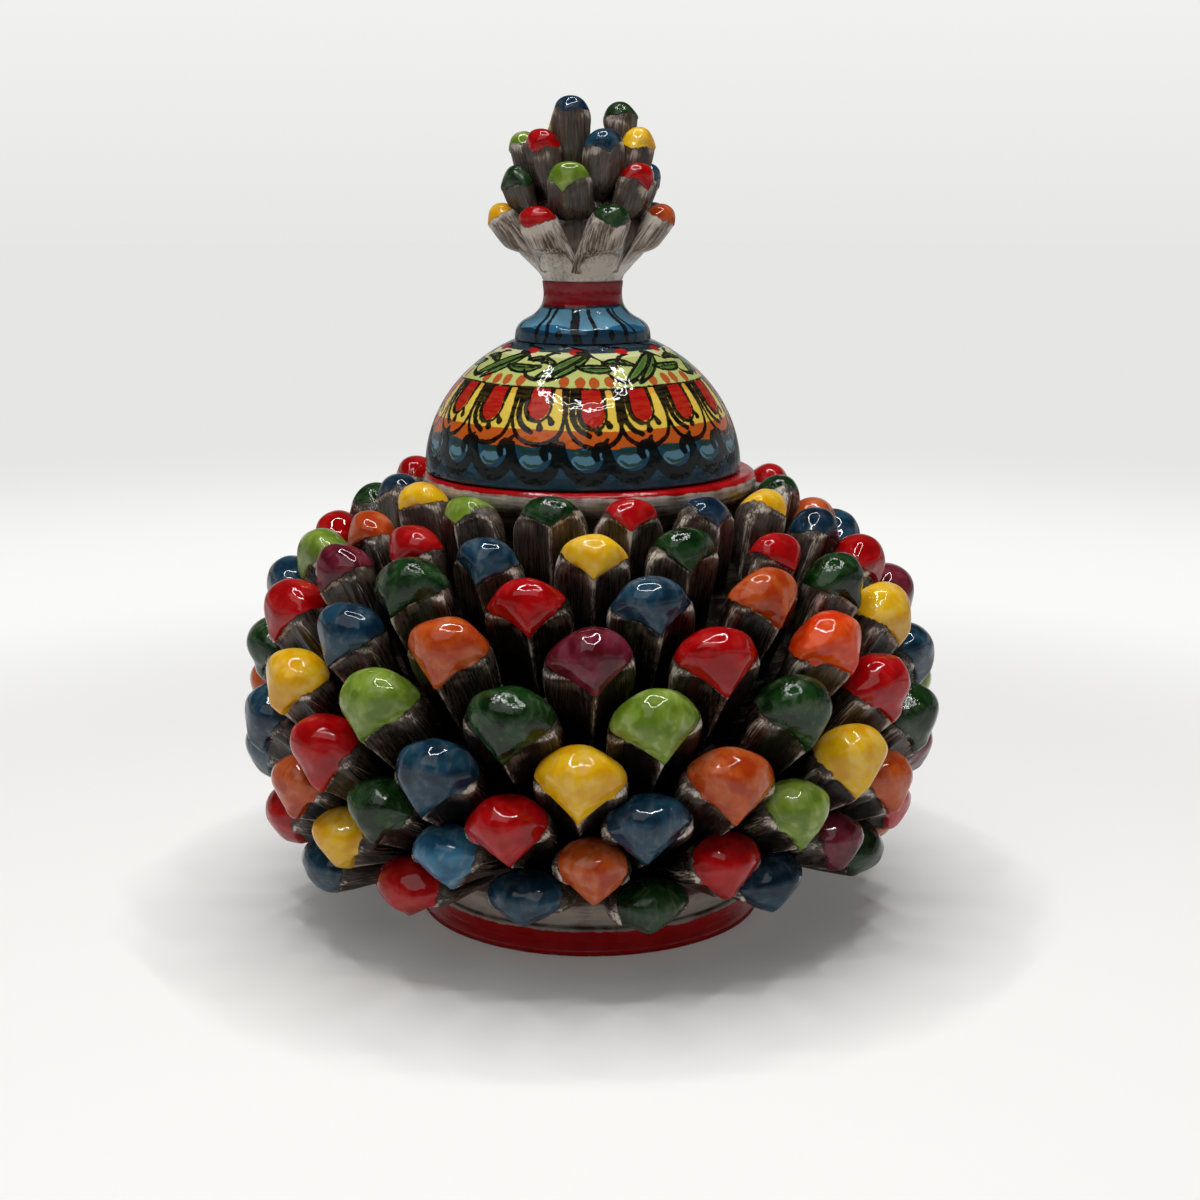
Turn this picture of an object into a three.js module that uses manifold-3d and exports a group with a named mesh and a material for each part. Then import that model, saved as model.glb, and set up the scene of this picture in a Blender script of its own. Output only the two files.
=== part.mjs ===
// A lidded sweet jar in the shape of a pine cone, in glazed earthenware.
// A thrown vessel on a foot ring carries nine rows of hand-pinched scales. Its domed lid drops into
// the mouth with a flange, and ends in a small pine cone of the same scales.
// Sizes are in millimetres and angles in degrees. +Z is up, the jar stands on z = 0 round the Z axis,
// and azimuth 0 is the front, towards -Y.
import * as THREE from "three";
import { mergeVertices } from "three/addons/utils/BufferGeometryUtils.js";
import Module from "manifold-3d";

const wasm = await Module();
wasm.setup();

// Joints between pieces
const seatGap = 0.3;
const flangeClearance = 3.6;
const lidDrift = -2.5; // the lid lies a little to the left in its loose seat

// Foot ring
const footRadius = 65;
const footHeight = 10;
const footWall = 9;
const footWaist = 3.5; // how far the foot draws in from its base to its top
const footPlinth = 2; // upright edge at the base
const footEdge = 1; // edge taken off at the foot's base and top
const vesselSetBack = 4; // from the foot's outer edge to the vessel's

// Vessel
const wallThickness = 7;
const floorThickness = 9;
const bellyRadius = 97;
const bellyHeight = 71;
const neckRadius = 56;
const neckHeight = 148;
const neckWall = 6;
const rimHeight = 18; // from the neck up to the ledge that the lid lies on
const rimOverhang = 5.5;
const rimThickness = 6.5;
const rimRound = 2.5;
const rimUndercut = 4; // height of the slope under the rim
const rimFillet = 0.6; // how far that slope stands out at its foot

// Lid dome, flange and neck
const ledgeShowing = 3.5; // width of the rim outside the dome
const domeRise = 47;
const domeWall = 6.5;
const crownMargin = 0.5; // flat of the dome's crown outside the neck's step
const flangeWall = 5;
const flangeDepth = 13;
const flangeShelf = 4.5;
const flangeLead = 2; // height of the slope that guides the flange into the mouth
const stepRadius = 24.5;
const stepHeight = 7;
const stepRound = 1.5;
const collarRadius = 14.2;
const collarHeight = 9;
const collarFlare = 0.4;
const neckSlope = 5; // height of the slope from the step up to the collar
const ventRadius = 6.5;
const ventHeight = 24; // how far the vent runs up inside the finial's core

// Finial core
const coreRadius = 18.5;
const coreHeight = 50;
const coreWaist = 12; // height at which the stem reaches the core's full radius

// The largest scale of the jar: its reach from the wall to the middle of the bulb, and the bulb's
// width and depth.
const scaleReach = 35;
const scaleWidth = 29;
const scaleDepth = 23;

// Rows of scales, one entry a row from the lowest up. The level of a root is 0 at the vessel's base,
// 1 at the belly and 2 at the neck. The lift is above the horizontal. The rest are shares of the
// largest scale.
const scalesInRow = 15;
const rootBand = 3; // height of the seam where a pressed root joins the next one
const rootStep = 2.5; // thickness of the clay at that seam
const scaleRows = [
  { level: 0.374, lift: 6, reach: 0.86, width: 0.97, depth: 0.83 },
  { level: 0.522, lift: 16, reach: 0.83, width: 0.9, depth: 0.87 },
  { level: 0.671, lift: 30, reach: 0.89, width: 0.93, depth: 0.96 },
  { level: 0.835, lift: 42, reach: 1, width: 1, depth: 1 },
  { level: 1.078, lift: 50, reach: 1, width: 1, depth: 1 },
  { level: 1.299, lift: 58, reach: 0.94, width: 0.97, depth: 0.96 },
  { level: 1.494, lift: 66, reach: 0.89, width: 0.9, depth: 0.87 },
  { level: 1.662, lift: 74, reach: 0.77, width: 0.83, depth: 0.78 },
  { level: 1.831, lift: 80, reach: 0.69, width: 0.81, depth: 0.74 },
];

// A middling scale of the finial, in the same three sizes
const knobReach = 20;
const knobWidth = 15;
const knobDepth = 11;

// Rows of the finial: level is the root's share of the core's height, and turn is the azimuth of the
// first scale of the row.
const finialRows = [
  { count: 7, turn: -82, level: 0.16, lift: 52, reach: 0.93, width: 0.97, depth: 1 },
  { count: 6, turn: -72, level: 0.36, lift: 70, reach: 0.98, width: 1.03, depth: 1 },
  { count: 6, turn: -100, level: 0.54, lift: 78, reach: 1.1, width: 0.97, depth: 1 },
  { count: 3, turn: -20, level: 0.7, lift: 84, reach: 1.25, width: 0.9, depth: 1 },
];

const finialSink = 3; // depth in the core from which a scale's sides are worked out

// Shape of the vessel's wall as [level, fullness]: fullness is 0 at the foot and the neck, and 1 at
// the belly.
const wallShape = [
  [0, 0],
  [0.165, 0.139],
  [0.374, 0.5],
  [0.671, 0.889],
  [1, 1],
  [1.299, 0.927],
  [1.494, 0.756],
  [1.662, 0.488],
  [1.844, 0.22],
  [2, 0],
];

// A pinched root: how far below it reaches, as a share of the bulb's depth, and where its two thumb
// marks run out on the wall, as shares of its width and of that reach.
const rootShare = 0.28;
const markAcross = 0.42;
const markDown = 0.65;

// How far one hand-made scale strays from the next
const strayTurn = 1;
const strayLift = 2;
const strayReach = 0.8;

// Facets
const wallFacets = 2 * scalesInRow;
const wallStep = 360 / scalesInRow; // azimuth from one scale of a row to the next
const domeFacets = 36;
const smallFacets = 24;
const curveSamples = 200; // points along a curve where a place on it is looked up

const deg = THREE.MathUtils.degToRad;
const lerp = THREE.MathUtils.lerp;
const cream = new THREE.MeshStandardMaterial({ color: 0xb9aca0, roughness: 0.35, metalness: 0 });
const redGlaze = new THREE.MeshStandardMaterial({ color: 0xa3161b, roughness: 0.2, metalness: 0 });
const paintedDome = new THREE.MeshStandardMaterial({ color: 0x2e5a73, roughness: 0.15, metalness: 0 });
const skyGlaze = new THREE.MeshStandardMaterial({ color: 0x5a9cc0, roughness: 0.15, metalness: 0 });
const washedClay = new THREE.MeshStandardMaterial({ color: 0x6b5d55, roughness: 0.3, metalness: 0 });

// Solids

function solidOf(geometry) {
  const bare = geometry.clone();
  bare.deleteAttribute("normal");
  bare.deleteAttribute("uv");
  const merged = mergeVertices(bare, 1e-4);
  return new wasm.Manifold(
    new wasm.Mesh({
      numProp: 3,
      vertProperties: merged.attributes.position.array,
      triVerts: new Uint32Array(merged.index.array),
    }),
  );
}

function geometryOf(solid) {
  const { vertProperties, triVerts } = solid.getMesh();
  const geometry = new THREE.BufferGeometry();
  geometry.setAttribute("position", new THREE.BufferAttribute(vertProperties, 3));
  geometry.setIndex(new THREE.BufferAttribute(triVerts, 1));
  geometry.computeVertexNormals();
  return geometry;
}

function namedMesh(name, geometry, material) {
  const mesh = new THREE.Mesh(geometry, material);
  mesh.name = name;
  return mesh;
}

// A solid of revolution round Z from [radius, height] pairs that run up the outside.
function turned(profile, facets) {
  const points = profile.map(([radius, height]) => new THREE.Vector2(radius, height));
  if (profile[0][0] > 0) points.push(points[0].clone());
  return new THREE.LatheGeometry(points, facets).rotateX(Math.PI / 2);
}

// Points of a smooth curve through [radius, height] pairs, each moved outwards by offset.
function curvePoints(through, divisions, offset = 0) {
  const curve = new THREE.SplineCurve(through.map(([radius, height]) => new THREE.Vector2(radius, height)));
  return curve.getPoints(divisions).map((point, i) => {
    const along = curve.getTangent(i / divisions);
    return [point.x + along.y * offset, point.y - along.x * offset];
  });
}

// Vessel and foot

const vesselBase = footHeight + seatGap;
const vesselFootRadius = footRadius - vesselSetBack;

function wallHeight(level) {
  return level < 1 ? lerp(vesselBase, bellyHeight, level) : lerp(bellyHeight, neckHeight, level - 1);
}

const wallThrough = wallShape.map(([level, fullness]) => {
  const end = level < 1 ? vesselFootRadius : neckRadius;
  return [lerp(end, bellyRadius, fullness), wallHeight(level)];
});

// The two points of a line of [radius, height] pairs on either side of a height, and the radius there.
function onLine(line, height) {
  const i = Math.max(1, line.findIndex(([, z]) => z >= height));
  const [[r0, z0], [r1, z1]] = [line[i - 1], line[i]];
  return { r0, z0, r1, z1, radius: r0 + ((r1 - r0) * (height - z0)) / (z1 - z0) };
}

// The wall's outside at a height, as a [radius, height] pair moved outwards by offset.
function wallPoint(height, offset = 0) {
  const { r0, z0, r1, z1, radius } = onLine(curvePoints(wallThrough, curveSamples), height);
  const length = Math.hypot(r1 - r0, z1 - z0);
  return [radius + (offset * (z1 - z0)) / length, height - (offset * (r1 - r0)) / length];
}

// The outside of the wall. Its corners lie between the rows, so that each root meets one facet's height.
function wallOutside(offset = 0) {
  const roots = scaleRows.map((row) => wallHeight(row.level));
  const between = roots.slice(1).map((height, i) => (height + roots[i]) / 2);
  const low = 2 * roots[0] - between[0];
  const high = (roots[roots.length - 1] + neckHeight) / 2;
  const corners = [vesselBase, (vesselBase + low) / 2, low, ...between, high, neckHeight];
  return corners.map((height) => wallPoint(height, offset));
}

const mouthRadius = neckRadius - neckWall;
const ledgeHeight = neckHeight + rimHeight;
const rimRadius = neckRadius + rimOverhang;
const rimUnderside = ledgeHeight - rimThickness;
const rimFoot = rimUnderside - rimUndercut;

// The outside of the rim that the lid stands on, from its neck up to its flat ledge.
function rimOutside(offset = 0) {
  return [
    [neckRadius + rimFillet + offset, rimFoot - offset],
    [rimRadius - rimRound + offset, rimUnderside - offset],
    [rimRadius + offset, rimUnderside + rimRound - offset],
    [rimRadius + offset, ledgeHeight - rimRound + offset],
    [rimRadius - rimRound + offset, ledgeHeight + offset],
  ];
}

function vesselProfile() {
  const floorTop = vesselBase + floorThickness;
  const inside = curvePoints(wallThrough.slice(2), 6, -wallThickness)
    .filter(([radius]) => radius > mouthRadius)
    .reverse();
  return [
    [0, vesselBase],
    ...wallOutside(),
    ...rimOutside(),
    [mouthRadius, ledgeHeight],
    [mouthRadius, neckHeight],
    ...inside,
    [vesselFootRadius - wallThickness, floorTop],
    [0, floorTop],
  ];
}

function footProfile() {
  const top = footRadius - footWaist;
  return [
    [footRadius - footWall, 0],
    [footRadius - footEdge, 0],
    [footRadius, footPlinth],
    [top, footHeight - footPlinth],
    [top - footEdge, footHeight],
    [top - footWall, footHeight],
  ];
}

// Scales

// A steady number from -1 to 1 for each seed, the same on every run.
function stray(seed) {
  const wave = Math.sin(seed * 12.9898) * 43758.5453;
  return 2 * (wave - Math.floor(wave)) - 1;
}

// The sizes of a scale from its shares of the standard one, with its reach off by its stray.
function scaleSize(row, reach, width, depth, seed) {
  return {
    reach: row.reach * reach + strayReach * stray(seed + 0.7),
    width: row.width * width,
    depth: row.depth * depth,
  };
}

// One section of a scale as seven points [sideways, back]: the keel in front, the two thumb marks
// beside it, the two sides and the rounded back. pinch runs from 0, full, to 1, pressed right in.
function scaleSection(halfWidth, back, front, pinch) {
  const markDepth = lerp(0.78, 0.24, pinch);
  const markSide = lerp(0.62, 0.42, pinch);
  return [
    [0, -front],
    [halfWidth * markSide, -front * markDepth],
    [halfWidth, back * 0.1],
    [halfWidth * 0.55, back],
    [-halfWidth * 0.55, back],
    [-halfWidth, back * 0.1],
    [-halfWidth * markSide, -front * markDepth],
  ];
}

// Sections of a pinched scale along +Z, from the thumb marks half way up its stem to its bulb, as
// points in space; X is sideways and -Y is its front. It grows by extra all round where it serves to
// cut its neighbours free.
function scaleRings({ reach, width, depth }, extra) {
  const half = width / 2 + extra;
  const thick = depth / 2 + extra;
  const cap = depth * 0.4 + extra;
  const stem = scaleSection(half * 1.02, thick * 0.62, thick * 0.95, 1);
  const bulb = scaleSection(half, thick, thick * 1.12, 0.2);
  const crown = scaleSection(half * 0.8, thick * 0.75, thick * 0.8, 0);
  const at = (section, z) => section.map(([x, y]) => new THREE.Vector3(x, y, z));
  return {
    rings: [at(stem, reach * 0.5), at(bulb, reach - depth * 0.1), at(crown, reach + cap * 0.5)],
    tip: new THREE.Vector3(0, -thick * 0.05, reach + cap),
  };
}

// A closed mesh under construction: add takes a point and gives its number.
function emptyMesh() {
  const positions = [];
  const faces = [];
  const add = (point) => {
    positions.push(point.x, point.y, point.z);
    return positions.length / 3 - 1;
  };
  const geometry = () => {
    const result = new THREE.BufferGeometry();
    result.setAttribute("position", new THREE.Float32BufferAttribute(positions, 3));
    result.setIndex(faces);
    return result;
  };
  return { add, faces, geometry };
}

// Skins a scale from the loop of points at its root up to its tip. Each point of the loop is joined
// to the point of the first ring whose number stands in meets.
function skinScale(mesh, loop, meets, rings, tip) {
  const sides = rings[0].length;
  loop.forEach((point, i) => {
    const next = (i + 1) % loop.length;
    const last = next === 0 ? meets[0] + sides : meets[next];
    if (point !== loop[next]) mesh.faces.push(point, loop[next], rings[0][meets[i] % sides]);
    for (let side = meets[i]; side < last; side++) {
      mesh.faces.push(loop[next], rings[0][(side + 1) % sides], rings[0][side % sides]);
    }
  });
  for (let side = 0; side < sides; side++) {
    const next = (side + 1) % sides;
    for (let ring = 0; ring + 1 < rings.length; ring++) {
      const [low, high] = [rings[ring], rings[ring + 1]];
      mesh.faces.push(low[side], low[next], high[next], low[side], high[next], high[side]);
    }
    const top = rings[rings.length - 1];
    mesh.faces.push(top[side], top[next], tip);
  }
}

// The place of a scale: its root at a radius and height, leaning out at lift above the horizontal.
function scalePlace(azimuth, radius, height, lift) {
  const outwards = new THREE.Vector3(Math.sin(deg(azimuth)), -Math.cos(deg(azimuth)), 0);
  const sideways = new THREE.Vector3(Math.cos(deg(azimuth)), Math.sin(deg(azimuth)), 0);
  const along = outwards.clone().multiplyScalar(Math.cos(deg(lift)));
  along.z = Math.sin(deg(lift));
  const back = along.clone().cross(sideways);
  const root = outwards.multiplyScalar(radius);
  root.z = height;
  return new THREE.Matrix4().makeBasis(sideways, back, along).setPosition(root);
}

// A point at a radius, an azimuth and a height.
function around(radius, azimuth, height) {
  return new THREE.Vector3(radius * Math.sin(deg(azimuth)), -radius * Math.cos(deg(azimuth)), height);
}

// A point just clear of the faceted wall. across runs from -1 to 1 over the width of one scale.
function seatPoint(azimuth, across, height, stepOut = 0) {
  const radius = onLine(wallOutside(seatGap), height).radius + stepOut;
  const edge = azimuth + (Math.sign(across) * wallStep) / 2;
  return around(radius, azimuth, height).lerp(around(radius, edge, height), Math.abs(across));
}

// How far a row's roots reach below or above its height: up to halfway to the next row.
function rootReach(rowIndex, direction) {
  const row = scaleRows[rowIndex];
  const next = scaleRows[rowIndex + direction] ?? scaleRows[rowIndex - direction];
  const apart = Math.abs(wallHeight(next.level) - wallHeight(row.level));
  return Math.min(row.depth * scaleDepth * rootShare, (apart - seatGap) / 2);
}

// One row as a ring of clay: the root of each scale is pressed out along the wall until it joins the
// next one's.
function rowSolid(rowIndex, extra) {
  const row = scaleRows[rowIndex];
  const height = wallHeight(row.level);
  const low = height - rootReach(rowIndex, -1) - extra;
  const high = height + rootReach(rowIndex, 1) + extra;
  const band = rootBand / 2 + extra;
  const firstTurn = ((rowIndex + 1) % 2) / 2;
  const mesh = emptyMesh();
  const azimuths = Array.from({ length: scalesInRow }, (_, i) => (i + firstTurn) * wallStep);
  const seams = azimuths.map((azimuth) => ({
    low: mesh.add(seatPoint(azimuth, 1, height - band)),
    out: mesh.add(seatPoint(azimuth, 1, height, rootStep + extra)),
    high: mesh.add(seatPoint(azimuth, 1, height + band)),
  }));
  azimuths.forEach((azimuth, i) => {
    const left = seams[(i + scalesInRow - 1) % scalesInRow];
    const right = seams[i];
    const markHeight = lerp(height, low, markDown);
    const keel = mesh.add(seatPoint(azimuth, 0, low));
    const markRight = mesh.add(seatPoint(azimuth, markAcross, markHeight));
    const markLeft = mesh.add(seatPoint(azimuth, -markAcross, markHeight));
    const back = mesh.add(seatPoint(azimuth, 0, high));
    const loop = [keel, markRight, right.low, right.out, right.high, back, back];
    loop.push(left.high, left.out, left.low, markLeft);
    const meets = [0, 1, 1, 2, 2, 3, 4, 5, 5, 6, 6];
    const seed = (rowIndex + 1) * 100 + i;
    const lean = row.lift + strayLift * stray(seed + 0.3);
    const size = scaleSize(row, scaleReach, scaleWidth, scaleDepth, seed);
    const [radius] = wallPoint(height);
    const place = scalePlace(azimuth + strayTurn * stray(seed), radius, height, lean);
    const put = (point) => mesh.add(point.applyMatrix4(place));
    const { rings, tip } = scaleRings(size, extra);
    skinScale(mesh, loop, meets, rings.map((ring) => ring.map(put)), put(tip));
    mesh.faces.push(back, markRight, keel, back, right.low, markRight, back, right.high, right.low);
    mesh.faces.push(back, keel, markLeft, back, markLeft, left.low, back, left.low, left.high);
  });
  return solidOf(mesh.geometry());
}

// Nine rings of scales, each cut clear of the rim above and of the row below.
function jarScaleRows() {
  const aroundRim = [[0, rimFoot - seatGap], ...rimOutside(seatGap), [0, ledgeHeight + seatGap]];
  const clearOfRim = solidOf(turned(aroundRim, wallFacets));
  return scaleRows.map((row, i) => {
    let ring = rowSolid(i, 0).subtract(clearOfRim);
    if (i > 0) ring = ring.subtract(rowSolid(i - 1, seatGap));
    return namedMesh(`scale_row_${i + 1}`, geometryOf(ring), washedClay);
  });
}

// Lid

const domeBase = ledgeHeight + seatGap;
const domeRadius = rimRadius - ledgeShowing;
const domeCrownRadius = stepRadius + crownMargin;
const crownHeight = domeBase + domeRise;
const flangeRadius = mouthRadius - flangeClearance;

// The dome's side is part of an ellipse, upright at its base and rising to the given radius.
function domeArc(radius, base, rise, divisions, endRadius) {
  const sweep = Math.acos(endRadius / radius);
  return Array.from({ length: divisions + 1 }, (_, i) => {
    const angle = (sweep * i) / divisions;
    return [radius * Math.cos(angle), base + (rise * Math.sin(angle)) / Math.sin(sweep)];
  });
}

// The dome's wall stands upright inside, as high as the flange's shelf, and then closes to the vent.
const shelfTop = domeBase + flangeShelf;

function domeProfile() {
  const insideRadius = domeRadius - domeWall;
  const insideBase = shelfTop + seatGap;
  const insideRise = crownHeight - domeWall - insideBase;
  return [
    ...domeArc(domeRadius, domeBase, domeRise, 7, domeCrownRadius),
    [ventRadius, crownHeight],
    ...domeArc(insideRadius, insideBase, insideRise, 5, ventRadius).reverse(),
    [insideRadius, domeBase],
  ];
}

function flangeProfile() {
  const shelfRadius = domeRadius - domeWall - seatGap;
  const foot = ledgeHeight - flangeDepth;
  const inside = flangeRadius - flangeWall;
  return [
    [inside, foot],
    [flangeRadius - flangeLead / 2, foot],
    [flangeRadius, foot + flangeLead],
    [flangeRadius, domeBase],
    [shelfRadius, domeBase],
    [shelfRadius, shelfTop],
    [inside, shelfTop],
  ];
}

const neckBase = crownHeight + seatGap;
const neckTop = neckBase + stepHeight + neckSlope + collarHeight;

function neckProfile() {
  const slopeBase = neckBase + stepHeight;
  const collarBase = slopeBase + neckSlope;
  return [
    [ventRadius, neckBase],
    [stepRadius, neckBase],
    [stepRadius + crownMargin, neckBase + stepHeight * 0.5],
    [stepRadius - stepRound, slopeBase],
    [(stepRadius + collarRadius) / 2, slopeBase + neckSlope * 0.45],
    [collarRadius + collarFlare, collarBase],
    [collarRadius, collarBase + collarHeight * 0.4],
    [collarRadius + collarFlare, neckTop],
    [ventRadius, neckTop],
  ];
}

const coreBase = neckTop + seatGap;
const coreThrough = [
  [collarRadius + collarFlare, coreBase],
  [coreRadius * 0.92, coreBase + coreWaist * 0.5],
  [coreRadius, coreBase + coreWaist],
  [coreRadius * 0.88, coreBase + coreHeight * 0.52],
  [coreRadius * 0.55, coreBase + coreHeight * 0.76],
  [0, coreBase + coreHeight],
];

function coreProfile(offset = 0) {
  const outside = curvePoints(coreThrough, 9, offset);
  outside[outside.length - 1][0] = 0;
  return outside;
}


// A scale by itself, as a closed mesh that runs a little way into what it stands on. It keeps the
// section of its stem right down to the root.
function singleScale(size, extra) {
  const { rings, tip } = scaleRings(size, extra);
  const [stem, ...bulb] = rings;
  const mesh = emptyMesh();
  const loop = stem.map((point) => mesh.add(point.clone().setZ(-finialSink)));
  const meets = loop.map((_, i) => i);
  skinScale(mesh, loop, meets, bulb.map((ring) => ring.map(mesh.add)), mesh.add(tip));
  for (let side = 1; side + 1 < loop.length; side++) mesh.faces.push(loop[0], loop[side + 1], loop[side]);
  return mesh.geometry();
}

// The small cone's scales, each a piece of its own, cut clear of the core and of those below.
function finialScales() {
  const clearOfCore = solidOf(turned([[0, coreBase - seatGap], ...coreProfile(seatGap)], smallFacets));
  let placed = null;
  const meshes = [];
  finialRows.forEach((row, rowIndex) => {
    const height = coreBase + coreHeight * row.level;
    const { radius } = onLine(curvePoints(coreThrough, curveSamples), height);
    for (let i = 0; i < row.count; i++) {
      const seed = 1000 + rowIndex * 100 + i;
      const azimuth = row.turn + (360 / row.count) * i + 3 * strayTurn * stray(seed);
      const lift = row.lift + strayLift * stray(seed + 0.3);
      const size = scaleSize(row, knobReach, knobWidth, knobDepth, seed);
      const place = scalePlace(azimuth, radius, height, lift);
      let solid = singleScale(size, 0).applyMatrix4(place);
      solid = solidOf(solid).subtract(clearOfCore);
      if (placed) solid = solid.subtract(placed);
      const grown = solidOf(singleScale(size, seatGap).applyMatrix4(place));
      placed = placed ? placed.add(grown) : grown;
      const mesh = namedMesh(`finial_scale_${rowIndex + 1}_${i + 1}`, geometryOf(solid), washedClay);
      mesh.geometry.applyMatrix4(place.clone().invert());
      place.decompose(mesh.position, mesh.quaternion, mesh.scale);
      meshes.push(mesh);
    }
  });
  return meshes;
}

// Assembly

const jar = new THREE.Group();
jar.add(
  namedMesh("foot_ring", turned(footProfile(), wallFacets), redGlaze),
  namedMesh("vessel", turned(vesselProfile(), wallFacets), cream),
  ...jarScaleRows(),
);

const core = solidOf(turned([[0, coreBase], ...coreProfile()], smallFacets));
const vent = solidOf(
  turned(
    [
      [0, coreBase - 1],
      [ventRadius, coreBase - 1],
      [ventRadius, coreBase + ventHeight],
      [0, coreBase + ventHeight],
    ],
    smallFacets,
  ),
);

const lid = new THREE.Group();
lid.position.x = lidDrift;
lid.add(
  namedMesh("lid_dome", turned(domeProfile(), domeFacets), paintedDome),
  namedMesh("lid_flange", turned(flangeProfile(), domeFacets), cream),
  namedMesh("lid_neck", turned(neckProfile(), smallFacets), skyGlaze),
  namedMesh("finial_core", geometryOf(core.subtract(vent)), cream),
  ...finialScales(),
);

const sweetJar = new THREE.Group();
sweetJar.add(jar, lid);

export default sweetJar;
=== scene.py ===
"""The visual model of a lidded sweet jar in the shape of a pine cone, in glazed earthenware.

It is laid out as an add-on and is run as a script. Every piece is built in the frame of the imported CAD
model, with the jar on z = 0 round the Z axis and its front towards -Y. Shapes are worked out in
millimetres and azimuths in degrees, 0 at the front and growing towards +X.
"""

import functools
import math

import bpy
import numpy as np
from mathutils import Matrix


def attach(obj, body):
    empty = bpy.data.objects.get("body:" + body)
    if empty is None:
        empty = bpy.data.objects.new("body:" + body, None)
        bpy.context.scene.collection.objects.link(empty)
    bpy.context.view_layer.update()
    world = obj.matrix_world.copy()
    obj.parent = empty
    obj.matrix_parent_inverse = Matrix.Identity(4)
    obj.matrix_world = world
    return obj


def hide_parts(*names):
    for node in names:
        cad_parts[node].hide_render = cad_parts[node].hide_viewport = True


bl_info = {
    "name": "Pine Cone Sweet Jar",
    "version": (1, 0, 0),
    "blender": (4, 5, 0),
    "location": "3D View > Sidebar > Sweet Jar",
    "description": "Builds a glazed pine cone jar and its painted lid on their CAD frame",
    "category": "Add Mesh",
}

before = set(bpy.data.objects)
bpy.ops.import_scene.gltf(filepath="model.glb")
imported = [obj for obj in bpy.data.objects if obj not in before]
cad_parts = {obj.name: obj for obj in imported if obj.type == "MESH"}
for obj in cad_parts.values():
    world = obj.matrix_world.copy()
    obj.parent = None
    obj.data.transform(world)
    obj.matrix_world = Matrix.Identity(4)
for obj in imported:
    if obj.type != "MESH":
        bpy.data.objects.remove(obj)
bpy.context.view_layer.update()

MM = 0.001
LID_X = -2.5  # the lid lies a little to the left in its loose seat
OUTSIDE = -9.0  # a distance in mm well outside any painted stroke or band
FAR = 9.0  # a distance in mm too far from a scale's edges for the wash to be worn there


def linear(hex_colour):
    """An sRGB hex value as linear red, green and blue, by the sRGB curve."""
    channels = [int(hex_colour[i:i + 2], 16) / 255 for i in (0, 2, 4)]
    return tuple(c / 12.92 if c <= 0.04045 else ((c + 0.055) / 1.055) ** 2.4 for c in channels)


def forms(columns, *rows, **common):
    """A dictionary for each row of a table, with its columns' names and what all its rows share."""
    return [dict(zip(columns.split(), row), **common) for row in rows]


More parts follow.
